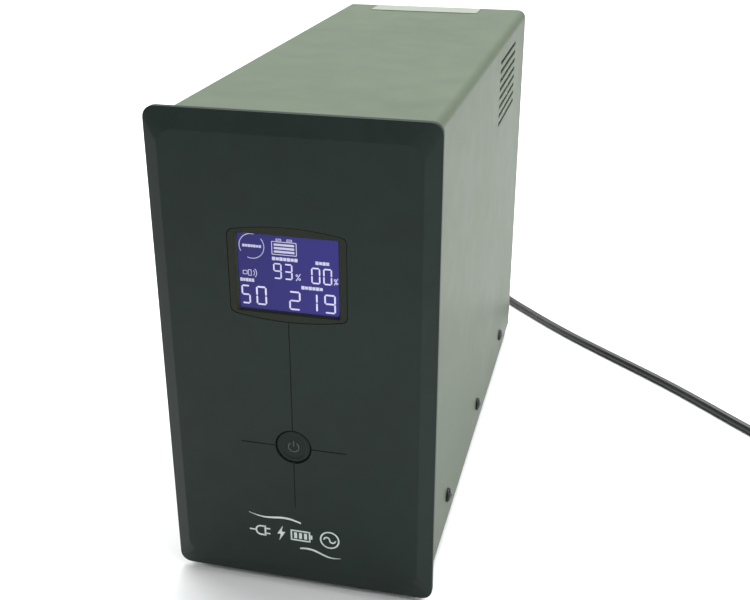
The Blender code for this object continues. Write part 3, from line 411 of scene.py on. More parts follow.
# ---------------------------------------------------------------- mains plug
# A round moulded plug lying on its side: a tapered tail with grip rings, a fluted body with two
# earth strips, and two bright pins sleeved at the root. Body and lead are one moulding.

PLUG_RADIUS, PLUG_LENGTH, PLUG_SIDES = 0.0185, 0.051, 56
PIN_SPREAD, PIN_RADIUS, PIN_LENGTH = 0.0095, 0.0024, 0.019
px, py, pz = PLUG_PLACE
body = [(0.0, 0.0), (0.0042, 0.0), (0.0048, 0.0006)]
for ring in range(4):
    start = 0.0020 + ring * 0.0032
    radius = 0.0052 + ring * 0.0006
    body += [(radius, start), (radius, start + 0.0018), (radius - 0.0010, start + 0.0022),
             (radius - 0.0010, start + 0.0030)]
body += [(0.0105, 0.0172), (0.0136, 0.0205), (0.0156, 0.0250), (0.0168, 0.0300), (0.0180, 0.0335),
         (PLUG_RADIUS, 0.0350), (PLUG_RADIUS, 0.0495), (PLUG_RADIUS - 0.0004, 0.0505),
         (PLUG_RADIUS - 0.0014, PLUG_LENGTH), (0.0150, PLUG_LENGTH), (0.0145, PLUG_LENGTH - 0.0006),
         (0.0, PLUG_LENGTH - 0.0006)]
bm = turned([(radius, py + station) for radius, station in body], (px, 0.0, pz), sides=PLUG_SIDES)
flutes = []
for side_face in bm.faces:
    middle = side_face.calc_center_median()
    turn = atan2(middle.z - pz, middle.x - px) / (2 * pi)
    if 0.0352 < middle.y - py < 0.0490 and round(turn * PLUG_SIDES - 0.5) % 2:
        flutes.append(side_face)
bmesh.ops.inset_individual(bm, faces=flutes, thickness=0.0003, depth=-0.0004)
plug_body = add_piece("plug_body", bm, cord_rubber, "cord_rubber", "mains_plug")

pin_plating = grained("pin_plating", (0.62, 0.60, 0.55), 0.24, 1600.0, 0.000004, metallic=1.0,
                      cloud=120.0, strength=0.10, scuffs=0.8, stretch=(900.0, 40.0, 900.0))
bm = bmesh.new()
for side in (-1, 1):
    root = py + PLUG_LENGTH - 0.0006
    pin = turned([(0.0, root - 0.0020), (PIN_RADIUS, root - 0.0020), (PIN_RADIUS, root + PIN_LENGTH - 0.0016),
                  (PIN_RADIUS - 0.0006, root + PIN_LENGTH - 0.0004), (0.0010, root + PIN_LENGTH),
                  (0.0, root + PIN_LENGTH)], (px + side * PIN_SPREAD, 0.0, pz), sides=24)
    shape = bpy.data.meshes.new("pin")
    pin.to_mesh(shape)
    pin.free()
    bm.from_mesh(shape)
    strip = Matrix.Translation((px, py + 0.0430, pz + side * (PLUG_RADIUS - 0.0012)))
    bmesh.ops.create_cube(bm, size=1.0, matrix=strip @ Matrix.Diagonal((0.0052, 0.0130, 0.0020, 1.0)))
plug_pins = add_piece("plug_pins", bm, pin_plating, "bright_steel")

# ---------------------------------------------------------------- coil tie
# A woven strap, 10 mm wide, wound once round the coil's turns and closed on itself.
# Its free end is tucked under the loop.

tie_weave, tree, shader, place = new_material("tie_weave", (0.02, 0.02, 0.02), 0.85, specular=0.3)
threads = add_node(tree, "TexWave", [("Vector", place)], Scale=260.0, Distortion=1.5, Detail=2.0)
crossed = add_node(tree, "TexWave", [("Vector", place)], bands_direction="Z", Scale=260.0, Distortion=1.5)
woven = add_node(tree, "Math", [(0, threads.outputs["Fac"]), (1, crossed.outputs["Fac"])],
                 operation="MULTIPLY")
# The weave's colour follows its height: painted shade between the threads and painted highlight where they
# cross.
shade = two_tone(tree, woven.outputs[0], (0.010, 0.010, 0.011), (0.045, 0.045, 0.048))
tree.links.new(shade, shader.inputs["Base Color"])
raise_surface(tree, shader, woven.outputs[0], 0.0002)


def dress(finish, *names):
    """Gives a finish to CAD pieces that keep their own mesh."""
    for name in names:
        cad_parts[name].material_slots[0].material = finish


dress(tie_weave, "coil_tie")

# ---------------------------------------------------------------- case
# A steel sheet 1.2 mm thick folded to an inverted U, powder coated in a satin dark green-grey.
# It slides over a zinc-plated tray; the flat rear panel is coated like the cover.

powder_coat = grained("powder_coat", (0.090, 0.114, 0.079), 0.46, 620.0, 0.000030, specular=0.15,
                      pips=0.35, cloud=6.0, strength=0.10, spread=0.05, scuffs=0.12,
                      stretch=(10.0, 10.0, 240.0))


def rounded_copy(node, width, sharp=30, segments=2, where=None):
    """A merged copy of a CAD piece with its edges rounded over; where picks the edges by their middle."""
    bm = bmesh.new()
    bm.from_mesh(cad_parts[node].data)
    bmesh.ops.remove_doubles(bm, verts=bm.verts, dist=1e-6)
    bmesh.ops.dissolve_limit(bm, angle_limit=radians(0.5), verts=bm.verts, edges=bm.edges)
    round_over(bm, width, sharp, segments, where)
    return bm


def round_over(bm, width, sharp=30, segments=2, where=None):
    """Rounds over the edges that turn by more than sharp degrees."""
    edges = [e for e in bm.edges if len(e.link_faces) == 2 and e.calc_face_angle() > radians(sharp)]
    if where:
        edges = [e for e in edges if where((e.verts[0].co + e.verts[1].co) / 2)]
    bmesh.ops.bevel(bm, geom=edges, offset=width, offset_type="OFFSET", affect="EDGES",
                    segments=segments, profile=0.5, material=-1, clamp_overlap=True)


add_piece("cover_sheet", rounded_copy("top_cover", 0.0003), powder_coat, "powder_coat", "top_cover")
add_piece("rear_plate", rounded_copy("rear_panel", 0.0002), powder_coat, "powder_coat", "rear_panel")

zinc_sheet, tree, shader, place = new_material("zinc_sheet", (0.50, 0.51, 0.52), 0.38, metallic=1.0)
spangle = add_node(tree, "TexVoronoi", [("Vector", place)], Scale=160.0, Randomness=1.0)
tone = use_group(tree, patchy_tone, [("Vector", place)], Colour=(0.50, 0.51, 0.52, 1.0), Size=30.0,
                 Strength=0.12)
grey = add_node(tree, "RGBToBW", [("Color", spangle.outputs["Color"])])
crystal = add_node(tree, "Mix", [(6, tone.outputs["Colour"]), (7, grey.outputs["Val"])],
                   data_type="RGBA", blend_type="SOFT_LIGHT")
crystal.inputs["Factor"].default_value = 0.25
tree.links.new(crystal.outputs[2], shader.inputs["Base Color"])
dull = add_node(tree, "MapRange", [("Value", spangle.outputs["Distance"])], From_Max=0.01,
                To_Min=0.30, To_Max=0.46)
tree.links.new(dull.outputs["Result"], shader.inputs["Roughness"])
add_piece("base_tray", rounded_copy("base_chassis", 0.0002), zinc_sheet, "zinc_sheet", "base_chassis")

# ---------------------------------------------------------------- feet
# Four turned rubber feet, each pushed into the tray by its stub. A groove runs round the side
# and the sole is slightly dished.

foot_rubber = grained("foot_rubber", (0.018, 0.018, 0.018), 0.75, 1500.0, 0.00006, specular=0.3,
                      cloud=80.0, strength=0.25)
FOOT_X, FOOT_Y, FOOT_RADIUS, FOOT_TOP = 0.054, 0.150, 0.010, 0.0077
foot_profile = [(0.0, 0.0006), (0.0050, 0.0004), (0.0070, 0.0), (0.0086, 0.0), (0.0096, 0.0005),
                (FOOT_RADIUS, 0.0016), (FOOT_RADIUS, 0.0036), (0.0095, 0.0040), (0.0095, 0.0048),
                (FOOT_RADIUS - 0.0003, 0.0052), (FOOT_RADIUS - 0.0005, 0.0072),
                (FOOT_RADIUS - 0.0010, FOOT_TOP), (0.0020, FOOT_TOP), (0.0020, 0.0092), (0.0, 0.0092)]
for number, (side, end) in enumerate(((-1, -1), (1, -1), (-1, 1), (1, 1)), 1):
    bm = turned(foot_profile, (side * FOOT_X, end * FOOT_Y, 0.0), "Z", 36)
    add_piece(f"rubber_foot_{number}", bm, foot_rubber, "foot_rubber", f"foot_{number}")

# ---------------------------------------------------------------- case screws
# Six black-oxide M4 screws with domed heads and a cross recess, three along the foot of each
# side. They hold the cover to the tray's flanges.

black_oxide = grained("black_oxide", (0.020, 0.020, 0.021), 0.30, 1800.0, 0.00001, metallic=0.7,
                      cloud=160.0, strength=0.35, scuffs=0.6, stretch=(600.0, 600.0, 60.0))
HEAD_RADIUS, HEAD_HEIGHT = 0.0046, 0.0026
SCREW_SEAT, SCREW_YS, SCREW_Z = 0.0733, (-0.119, 0.0, 0.119), 0.028


def carved(shape, tool):
    """Cuts one closed shape out of another and gives the result."""
    blanks = []
    for bm in (shape, tool):
        mesh = bpy.data.meshes.new("blank")
        bm.to_mesh(mesh)
        bm.free()
        blanks.append(bpy.data.objects.new("blank", mesh))
        scene.collection.objects.link(blanks[-1])
    cut = blanks[0].modifiers.new("cut", "BOOLEAN")
    cut.operation, cut.solver, cut.object = "DIFFERENCE", "EXACT", blanks[1]
    cut.use_self = True
    bpy.context.view_layer.update()
    result = bmesh.new()
    result.from_object(blanks[0], bpy.context.evaluated_depsgraph_get())
    for blank in blanks:
        bpy.data.objects.remove(blank)
    bmesh.ops.remove_doubles(result, verts=result.verts, dist=1e-7)
    return result


def cross_screw(head_radius, head_height, shank_radius, shank_length, recess):
    """A domed screw along +Z with its bearing face at zero, and a cross recess that narrows inwards."""
    dome = [(0.0, head_height)]
    for step in range(1, 7):
        angle = radians(90 - 13 * step)
        dome.append((head_radius * cos(angle), head_height * (0.25 + 0.75 * sin(angle))))
    dome += [(head_radius, head_height * 0.12), (head_radius - 0.0001, 0.0), (shank_radius, 0.0),
             (shank_radius, -shank_length + 0.0004), (shank_radius - 0.0004, -shank_length),
             (0.0, -shank_length)]
    tool = bmesh.new()
    for quarter in (0, pi / 2):
        blade = bmesh.ops.create_cube(tool, size=1.0)["verts"]
        for vert in blade:
            deep = 0.35 if vert.co.z < 0 else 1.0
            vert.co = Vector((vert.co.x * 2 * recess * deep, vert.co.y * 0.42 * recess * (0.5 + deep / 2),
                              head_height * (0.30 if vert.co.z < 0 else 1.40)))
        bmesh.ops.rotate(tool, verts=blade, cent=(0, 0, 0), matrix=Matrix.Rotation(quarter, 3, "Z"))
    return carved(turned(dome, (0, 0, 0), "Z", 40), tool)


case_screw = cross_screw(HEAD_RADIUS, HEAD_HEIGHT, 0.0018, 0.0062, 0.0026)
for side, sign in (("left", -1), ("right", 1)):
    for number, y in enumerate(SCREW_YS, 1):
        bm = case_screw.copy()
        turn = Matrix.Rotation(sign * pi / 2, 4, "Y") @ Matrix.Rotation(0.5 * number, 4, "Z")
        seat = Matrix.Translation((sign * SCREW_SEAT, y, SCREW_Z))
        bmesh.ops.transform(bm, matrix=seat @ turn, verts=bm.verts)
        add_piece(f"cover_screw_{side}_{number}", bm, black_oxide, "black_screw",
                  f"case_screw_{side}_{number}")
case_screw.free()

# ---------------------------------------------------------------- top label
# A blank pale label, self-adhesive, pressed on by hand near the cover's back edge.
# Its surface shows paper fibre under a thin varnish.

LABEL_COLOUR = (0.225, 0.250, 0.210)
label_paper, tree, shader, place = new_material("label_paper", LABEL_COLOUR, 0.50, specular=0.15)
fibre = add_node(tree, "TexNoise", [("Vector", place)], Scale=700.0, Detail=4.0, Distortion=1.2)
tint = use_group(tree, patchy_tone, [("Vector", place)], Colour=(*LABEL_COLOUR, 1.0), Size=60.0,
                 Strength=0.05)
tree.links.new(tint.outputs["Colour"], shader.inputs["Base Color"])
raise_surface(tree, shader, fibre.outputs["Fac"], 0.00003)
add_piece("paper_label", rounded_copy("top_label", 0.0001), label_paper, "label_paper", "top_label")

# ---------------------------------------------------------------- front panel
# One moulding in near-black green-grey plastic, spark-eroded to a fine matt grain. It has a broad
# chamfer all round and two hairline grooves that cross at the button, and it clips into the case.

FRONT, CHAMFER_DEPTH, SEAM = -0.194, 0.0039, -0.1866
FACE_X, DISPLAY_Z, BUTTON_Z = -0.002, 0.1998, 0.0968
panel_plastic = grained("panel_plastic", (0.0165, 0.0255, 0.0215), 0.42, 2200.0, 0.000020,
                        specular=0.14, pips=0.6, cloud=9.0, strength=0.16, spread=0.04)


def panel_rim(middle):
    """True on the chamfer's edges and the seam, and not on the openings, grooves or bosses."""
    return middle.y < SEAM + 0.001 and (abs(middle.x) > 0.068 or not 0.012 < middle.z < 0.272)


def panel_shoulder(middle):
    """True on the outer edge of the chamfer."""
    return panel_rim(middle) and abs(middle.y - FRONT - CHAMFER_DEPTH) < 0.0002


def panel_ridge(middle):
    """True on the rim's other edges."""
    return panel_rim(middle) and not panel_shoulder(middle)


bm = rounded_copy("front_panel", 0.0004, 8, 2, panel_ridge)
round_over(bm, 0.0011, 30, 4, panel_shoulder)
add_piece("front_moulding", bm, panel_plastic, "panel_plastic", "front_panel")

# ---------------------------------------------------------------- display
# A barrel-shaped frame round a backlit negative liquid-crystal cell, clipped in from behind.
# The cell glows violet blue, and its figures and signs show white.

WINDOW_WIDTH, WINDOW_HEIGHT = 0.0546, 0.0423
GLASS_FRONT = FRONT + 0.0022
frame_plastic = grained("frame_plastic", (0.0160, 0.0195, 0.0130), 0.30, 2600.0, 0.00001,
                        specular=0.15, cloud=30.0, strength=0.12)
add_piece("display_bezel", rounded_copy("display_frame", 0.0003), frame_plastic,
          "display_frame_plastic", "display_frame")

display_blue, tree, shader, place = new_material("display_blue", (0.002, 0.002, 0.012), 0.20, specular=0.20)
across = add_node(tree, "SeparateXYZ", [("Vector", place)])
glow = add_node(tree, "MapRange", [("Value", across.outputs["X"])],
                From_Min=FACE_X - WINDOW_WIDTH / 2, From_Max=FACE_X + WINDOW_WIDTH / 2)
cloudy = add_node(tree, "TexNoise", [("Vector", place)], Scale=35.0, Detail=1.0)
glow_mix = add_node(tree, "Mix", [("A", glow.outputs["Result"]), ("B", cloudy.outputs["Fac"])],
                    Factor=0.35)
shade = two_tone(tree, glow_mix.outputs["Result"], (0.018, 0.015, 0.128), (0.034, 0.026, 0.232))
rows = add_node(tree, "TexWave", [("Vector", place)], bands_direction="Z", Scale=900.0)
dim = add_node(tree, "MapRange", [("Value", rows.outputs["Fac"])], To_Min=0.88, To_Max=1.0)
lit = add_node(tree, "VectorMath", [(0, shade), ("Scale", dim.outputs["Result"])], operation="SCALE")
tree.links.new(lit.outputs["Vector"], shader.inputs["Emission Color"])
shader.inputs["Emission Strength"].default_value = 1.0
shader.inputs["Coat Weight"].default_value = 0.02
shader.inputs["Coat Roughness"].default_value = 0.05
dress(display_blue, "display_glass")

INK_BACK, INK_FRONT = GLASS_FRONT - 0.00002, GLASS_FRONT - 0.00008
FIELD_X, FIELD_Z = FACE_X - 0.0008, DISPLAY_Z - 0.0006


def only_verts(grown):
    """The vertices among what an extrusion made."""
    return [part for part in grown if isinstance(part, bmesh.types.BMVert)]


def plate(bm, outline, back, front):
    """A thin closed plate with that outline, given as (x, z) points, facing forwards."""
    face = bm.faces.new([bm.verts.new((x, back, z)) for x, z in outline])
    grown = bmesh.ops.extrude_face_region(bm, geom=[face])["geom"]
    bmesh.ops.translate(bm, vec=(0, front - back, 0), verts=only_verts(grown))


def on_window(u, v):
    """A place on the lit field, in shares of its width from the left and its height from the top."""
    return FIELD_X + (u - 0.5) * WINDOW_WIDTH, FIELD_Z + (0.5 - v) * WINDOW_HEIGHT


def bar(bm, start, end, thick, depth=(INK_BACK, INK_FRONT), pointed=True):
    """A straight stroke between two (x, z) points, with pointed or square ends."""
    a, b = Vector(start), Vector(end)
    along = (b - a).normalized()
    side = Vector((-along.y, along.x)) * thick / 2
    tip = along * thick / 2 if pointed else Vector((0, 0))
    outline = [a + tip + side, b - tip + side] + ([b] if pointed else [])
    outline += [b - tip - side, a + tip - side] + ([a] if pointed else [])
    plate(bm, outline, *depth)


def stroke_arc(bm, centre, radius, start, end, thick, depth=(INK_BACK, INK_FRONT), steps=24):
    """A stroke along part of a circle, angles in degrees."""
    outline = []
    angles = [radians(start + (end - start) * step / steps) for step in range(steps + 1)]
    for reach, run in ((radius + thick / 2, angles), (radius - thick / 2, angles[::-1])):
        outline += [(centre[0] + reach * cos(angle), centre[1] + reach * sin(angle)) for angle in run]
    plate(bm, outline, *depth)


# Segments of a figure: top, upper right, lower right, bottom, lower left, upper left, middle
LIT = {"0": "abcdef", "1": "bc", "2": "abged", "3": "abgcd", "5": "afgcd", "9": "abcdfg"}


def figure(bm, character, left, right, top, bottom, thick):
    """One seven-segment figure between shares of the window."""
    x0, z1 = on_window(left, top)
    x1, z0 = on_window(right, bottom)
    x0, x1, z0, z1 = x0 + thick / 2, x1 - thick / 2, z0 + thick / 2, z1 - thick / 2
    mid, gap = (z0 + z1) / 2, 0.00012
    ends = {"a": ((x0 + gap, z1), (x1 - gap, z1)), "b": ((x1, z1 - gap), (x1, mid + gap)),
            "c": ((x1, mid - gap), (x1, z0 + gap)), "d": ((x0 + gap, z0), (x1 - gap, z0)),
            "e": ((x0, z0 + gap), (x0, mid - gap)), "f": ((x0, mid + gap), (x0, z1 - gap)),
            "g": ((x0 + gap, mid), (x1 - gap, mid))}
    for segment in LIT[character]:
        bar(bm, *ends[segment], thick)


bm = bmesh.new()
for character, left, right, top, bottom, thick in (
        ("9", 0.366, 0.450, 0.345, 0.555, 0.00076), ("3", 0.474, 0.558, 0.345, 0.555, 0.00076),
        ("0", 0.742, 0.832, 0.360, 0.575, 0.00078), ("0", 0.860, 0.948, 0.360, 0.575, 0.00078),
        ("5", 0.033, 0.125, 0.675, 0.930, 0.00088), ("0", 0.182, 0.290, 0.675, 0.930, 0.00094),
        ("2", 0.514, 0.630, 0.700, 0.955, 0.00088), ("1", 0.685, 0.800, 0.700, 0.955, 0.00088),
        ("9", 0.866, 0.980, 0.700, 0.955, 0.00088)):
    figure(bm, character, left, right, top, bottom, thick)
for left, right, top, bottom in ((0.590, 0.636, 0.460, 0.560), (0.966, 1.004, 0.475, 0.570)):
    bar(bm, on_window(left, bottom), on_window(right, top), 0.00040)
    for u, v in ((left + 0.010, top + 0.026), (right - 0.010, bottom - 0.026)):
        stroke_arc(bm, on_window(u, v), 0.00048, 0, 350, 0.00036, steps=14)
display_white, tree, shader, place = new_material("display_white", (0.10, 0.10, 0.12), 0.35)
lamp_tone = use_group(tree, patchy_tone, [("Vector", place)], Colour=(0.60, 0.60, 0.82, 1.0), Size=90.0,
                      Strength=0.22)
tree.links.new(lamp_tone.outputs["Colour"], shader.inputs["Emission Color"])
shader.inputs["Emission Strength"].default_value = 1.0
bmesh.ops.recalc_face_normals(bm, faces=bm.faces)
add_piece("display_figures", bm, display_white, "display_blue", weighted=False)


def box_line(bm, left, right, top, bottom, thick):
    """A rectangle drawn with four strokes, between shares of the window."""
    for u in (left, right):
        bar(bm, on_window(u, top), on_window(u, bottom), thick, pointed=False)
    inside = (INK_BACK - 1e-6, INK_FRONT + 1e-6)
    for v in (top, bottom):
        bar(bm, on_window(left, v), on_window(right, v), thick * 0.98, inside, False)


def block_row(bm, left, right, middle, count, tall):
    """A row of short blocks that stands for a caption."""
    pitch = (right - left) / count
    for number in range(count):
        start = left + pitch * number
        bar(bm, on_window(start + pitch * 0.04, middle), on_window(start + pitch * 0.90, middle),
            tall * (1.0, 0.86, 1.0, 0.92)[number % 4], pointed=False)


bm = bmesh.new()
ring_centre = on_window(0.157, 0.150)
stroke_arc(bm, ring_centre, 0.0068, -112, 40, 0.00036)
stroke_arc(bm, ring_centre, 0.0068, 78, 208, 0.00036)
block_row(bm, 0.064, 0.256, 0.148, 7, 0.0015)
box_line(bm, 0.360, 0.602, 0.066, 0.232, 0.00042)
for v in (0.104, 0.149, 0.194):
    bar(bm, on_window(0.380, v), on_window(0.582, v), 0.00118, pointed=False)
for u in (0.428, 0.536):
    box_line(bm, u - 0.024, u + 0.024, 0.030, 0.052, 0.00036)
for left, right, middle, count in ((0.356, 0.615, 0.288, 7), (0.786, 0.925, 0.298, 4),
                                   (0.026, 0.170, 0.605, 5), (0.640, 0.857, 0.640, 6)):
    block_row(bm, left, right, middle, count, 0.0019)
box_line(bm, 0.060, 0.100, 0.482, 0.528, 0.00034)
box_line(bm, 0.112, 0.142, 0.468, 0.542, 0.00034)
for reach in (0.0021, 0.0033):
    stroke_arc(bm, on_window(0.136, 0.505), reach, -45, 45, 0.00036, steps=10)
bmesh.ops.recalc_face_normals(bm, faces=bm.faces)
sign_white = display_white.copy()
sign_white.name = "sign_white"
sign_white.node_tree.nodes["Principled BSDF"].inputs["Emission Strength"].default_value = 0.80
add_piece("display_signs", bm, sign_white, "display_blue", weighted=False)

backlight_plastic = grained("backlight_plastic", (0.78, 0.78, 0.75), 0.45, 1500.0, 0.00002, cloud=50.0,
                            strength=0.04)
dress(backlight_plastic, "display_backlight")

# ---------------------------------------------------------------- power button
# A round cap with a sunk face and a raised power sign, moulded in the panel's plastic. It slides
# in its hole on a flange and presses the switch on the board behind.

PANEL_INSIDE, STEM_BACK = -0.1915, -0.1872
button_plastic = grained("button_plastic", (0.0125, 0.0205, 0.0165), 0.40, 2400.0, 0.000018,
                         specular=0.12, cloud=60.0, strength=0.15)
r, face, flange = 0.0100, FRONT + 0.0006, PANEL_INSIDE + 0.0003
cap = [(0.0, face + 0.0005), (r - 0.0032, face + 0.0005), (r - 0.0027, face + 0.0004),
       (r - 0.0023, face + 0.0001), (r - 0.0019, face), (r - 0.0008, face), (r - 0.0003, face + 0.0002),
       (r, face + 0.0006), (r, flange), (0.0118, flange), (0.0118, flange + 0.0010),
       (0.0030, flange + 0.0010), (0.0030, STEM_BACK), (0.0, STEM_BACK)]
bm = turned(cap, (FACE_X, 0.0, BUTTON_Z), sides=64)
add_piece("button_cap", bm, button_plastic, "button_plastic", "power_button", body="power_button")
sign_plastic = grained("sign_plastic", (0.045, 0.055, 0.052), 0.35, 2400.0, 0.00001, cloud=90.0,
                       strength=0.12)
bm = bmesh.new()
sign_depth = (face + 0.00055, face + 0.00015)
stroke_arc(bm, (FACE_X, BUTTON_Z - 0.0003), 0.0030, 125, 415, 0.00065, sign_depth, 32)
bar(bm, (FACE_X, BUTTON_Z + 0.0002), (FACE_X, BUTTON_Z + 0.0036), 0.00065, sign_depth, False)
bmesh.ops.recalc_face_normals(bm, faces=bm.faces)
add_piece("button_sign", bm, sign_plastic, "button_plastic", body="power_button", weighted=False)

# ---------------------------------------------------------------- printed signs
# A row of plain pictures in white ink on the foot of the panel: mains plug, bolt, battery and
# outlet wave, between two thin swashes. The ink stands 40 microns proud of the plastic.

PRINT_X, PRINT_Z = -0.003, 0.0375
INK = (FRONT + 0.00001, FRONT - 0.00004)
print_ink = grained("print_ink", (0.62, 0.68, 0.66), 0.45, 1800.0, 0.000012, cloud=160.0, strength=0.10)


def ink_stroke(bm, middle, start, end, thick=0.0009):
    """A printed stroke with square ends, between (x, z) points taken from its picture's middle."""
    ends = [(middle + x, PRINT_Z + z) for x, z in (start, end)]
    bar(bm, *ends, thick, INK, False)


def swash(bm, start, end, lift, thick):
    """A tapering printed curve between two (x, z) points."""
    steps, upper, lower = 18, [], []
    for step in range(steps + 1):
        share = step / steps
        x = start[0] + (end[0] - start[0]) * share
        z = start[1] + (end[1] - start[1]) * share + lift * sin(2 * pi * share)
        half = thick / 2 * (0.12 + 0.88 * sin(pi * min(1.0, share * 0.75 + 0.25)))
        upper.append((x, z + half))
        lower.append((x, z - half))
    plate(bm, upper + lower[::-1], *INK)


bm = bmesh.new()
swash(bm, (PRINT_X + 0.004, PRINT_Z + 0.0088), (PRINT_X - 0.0275, PRINT_Z + 0.0118), 0.0012, 0.0013)
swash(bm, (PRINT_X + 0.003, PRINT_Z - 0.0088), (PRINT_X + 0.0275, PRINT_Z - 0.0118), 0.0012, 0.0013)
plug_x, battery_x, wave_x = PRINT_X - 0.0205, PRINT_X + 0.0035, PRINT_X + 0.0210
stroke_arc(bm, (plug_x, PRINT_Z), 0.0030, 90, 270, 0.0010, INK, 14)
ink_stroke(bm, plug_x, (0.0026, -0.0036), (0.0026, 0.0036), 0.0010)
ink_stroke(bm, plug_x, (-0.0070, 0.0), (-0.0034, 0.0))
for side in (-1, 1):
    ink_stroke(bm, plug_x, (0.0, side * 0.0030), (0.0026, side * 0.0030), 0.0010)
    ink_stroke(bm, plug_x, (0.0032, side * 0.0017), (0.0056, side * 0.0017))
    ink_stroke(bm, battery_x, (-0.0055, side * 0.0032), (0.0055, side * 0.0032))
    ink_stroke(bm, battery_x, (side * 0.0055, -0.0036), (side * 0.0055, 0.0036))
ink_stroke(bm, battery_x, (0.0066, -0.0014), (0.0066, 0.0014), 0.0011)
for cell in (-0.0030, 0.0, 0.0030):
    ink_stroke(bm, battery_x, (cell, -0.0020), (cell, 0.0020), 0.0018)
bolt = [(0.0011, 0.0052), (-0.0024, -0.0006), (-0.0003, -0.0006), (-0.0013, -0.0052), (0.0025, 0.0011),
        (0.0003, 0.0011)]
plate(bm, [(PRINT_X - 0.0082 + u, PRINT_Z + v) for u, v in bolt], *INK)
for shift, radius, start, steps in ((0.0, 0.0054, 0, 24), (0.0, 0.0054, 180, 24),
                                    (-0.0017, 0.0017, 0, 14), (0.0017, 0.0017, 180, 14)):
    stroke_arc(bm, (wave_x + shift, PRINT_Z), radius, start, start + 180, 0.0009, INK, steps)
bmesh.ops.recalc_face_normals(bm, faces=bm.faces)
add_piece("printed_signs", bm, print_ink, "panel_plastic", weighted=False)

# ---------------------------------------------------------------- fan
# An 80 mm axial fan in black plastic: a square frame with three struts, a seven-blade rotor with a
# printed hub disc, a chromed wire guard and four screws through the rear panel.

FAN_X, FAN_Z, FAN_PITCH = -0.022, 0.226, 0.03575
WIRE_RADIUS, GUARD_Y = 0.00075, REAR_OUT + 0.0011
fan_plastic = grained("fan_plastic", (0.016, 0.016, 0.017), 0.38, 1600.0, 0.00002, specular=0.45,
                      cloud=45.0, strength=0.22, scuffs=0.3, stretch=(60.0, 900.0, 60.0))
add_piece("fan_housing", rounded_copy("fan_frame", 0.0003), fan_plastic, "fan_plastic", "fan_frame")
bm = rounded_copy("fan_rotor", 0.0002, 40)
add_piece("fan_blades", bm, fan_plastic, "fan_plastic", "fan_rotor", body="fan_rotor")
hub_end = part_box("fan_rotor")[1].y
hub_disc = turned([(0.0, hub_end + 0.0005), (0.0128, hub_end + 0.0005), (0.0135, hub_end + 0.0003),
                   (0.0135, hub_end + 0.0001), (0.0, hub_end + 0.0001)], (FAN_X, 0.0, FAN_Z), sides=48)
hub_foil = grained("hub_foil", (0.52, 0.53, 0.54), 0.35, 900.0, 0.00001, metallic=0.8, cloud=70.0,
                   strength=0.18, scuffs=0.7, stretch=(700.0, 30.0, 30.0))
add_piece("fan_hub_disc", hub_disc, hub_foil, "bright_steel", body="fan_rotor")

guard_chrome = grained("guard_chrome", (0.62, 0.62, 0.63), 0.16, 1500.0, 0.000005, metallic=1.0,
                       cloud=50.0, strength=0.10, spread=0.05, scuffs=0.5, stretch=(60.0, 900.0, 900.0))


def edges_of(verts):
    """Every edge that meets these vertices, once."""
    return list(dict.fromkeys(edge for vert in verts for edge in vert.link_edges))


def wire(bm, points, radius=WIRE_RADIUS, closed=False, sides=10):
    """A round wire along points in a plane across Y, with closed ends or joined into a ring."""
    count = len(points)
    rings = []
    for number, point in enumerate(points):
        before = points[(number - 1) % count] if closed or number else point
        after = points[(number + 1) % count] if closed or number < count - 1 else point
        along = (Vector(after) - Vector(before)).normalized()
        turn = along.to_track_quat("Z", "Y").to_matrix().to_4x4()
        made = bmesh.ops.create_circle(bm, segments=sides, radius=radius,
                                       matrix=Matrix.Translation(point) @ turn)["verts"]
        rings.append(edges_of(made))
    pairs = list(zip(rings, rings[1:])) + ([(rings[-1], rings[0])] if closed else [])
    for first, second in pairs:
        bmesh.ops.bridge_loops(bm, edges=first + second)
    if not closed:
        for ends in (rings[0], rings[-1]):
            bmesh.ops.contextual_create(bm, geom=ends)


bm = bmesh.new()
for radius in (0.0100, 0.0190, 0.0280, 0.0364):
    around = [2 * pi * step / 64 for step in range(64)]
    wire(bm, [(FAN_X + radius * cos(a), GUARD_Y, FAN_Z + radius * sin(a)) for a in around], closed=True)
for quarter in range(4):
    turn = radians(45 + 90 * quarter)
    side = turn + pi / 2
    reach = FAN_PITCH * sqrt(2)
    loop = []
    for step in range(19):
        bend = radians(-118 + 236 * step / 18)
        loop.append((reach + 0.0028 * cos(bend), 0.0028 * sin(bend)))
    path = [(0.0352, -0.0062), (0.0440, -0.0034)] + loop + [(0.0440, 0.0034), (0.0352, 0.0062)]
    wire(bm, [(FAN_X + u * cos(turn) + v * cos(side), GUARD_Y + WIRE_RADIUS * 0.2,
               FAN_Z + u * sin(turn) + v * sin(side)) for u, v in path])
    spoke = (0.0092, 0.0364)
    wire(bm, [(FAN_X + u * cos(turn), GUARD_Y - WIRE_RADIUS * 0.3, FAN_Z + u * sin(turn)) for u in spoke])
bmesh.ops.recalc_face_normals(bm, faces=bm.faces)
add_piece("wire_guard", bm, guard_chrome, "bright_steel", "fan_guard", weighted=False)

screw_steel = grained("screw_steel", (0.40, 0.40, 0.41), 0.28, 1500.0, 0.000006, metallic=1.0,
                      cloud=150.0, strength=0.20, scuffs=0.5, stretch=(500.0, 500.0, 40.0))
fan_screw = cross_screw(0.0036, 0.0019, 0.0016, 0.0140, 0.0021)
corners = [(sx * FAN_PITCH, sz * FAN_PITCH) for sx in (-1, 1) for sz in (-1, 1)]
for number, (dx, dz) in enumerate(corners, 1):
    bm = fan_screw.copy()
    turn = Matrix.Rotation(-pi / 2, 4, "X") @ Matrix.Rotation(0.7 * number, 4, "Z")
    bmesh.ops.transform(bm, matrix=Matrix.Translation((FAN_X + dx, REAR_OUT + 0.0020, FAN_Z + dz)) @ turn,
                        verts=bm.verts)
    add_piece(f"guard_screw_{number}", bm, screw_steel, "bright_steel", f"fan_screw_{number}")
fan_screw.free()

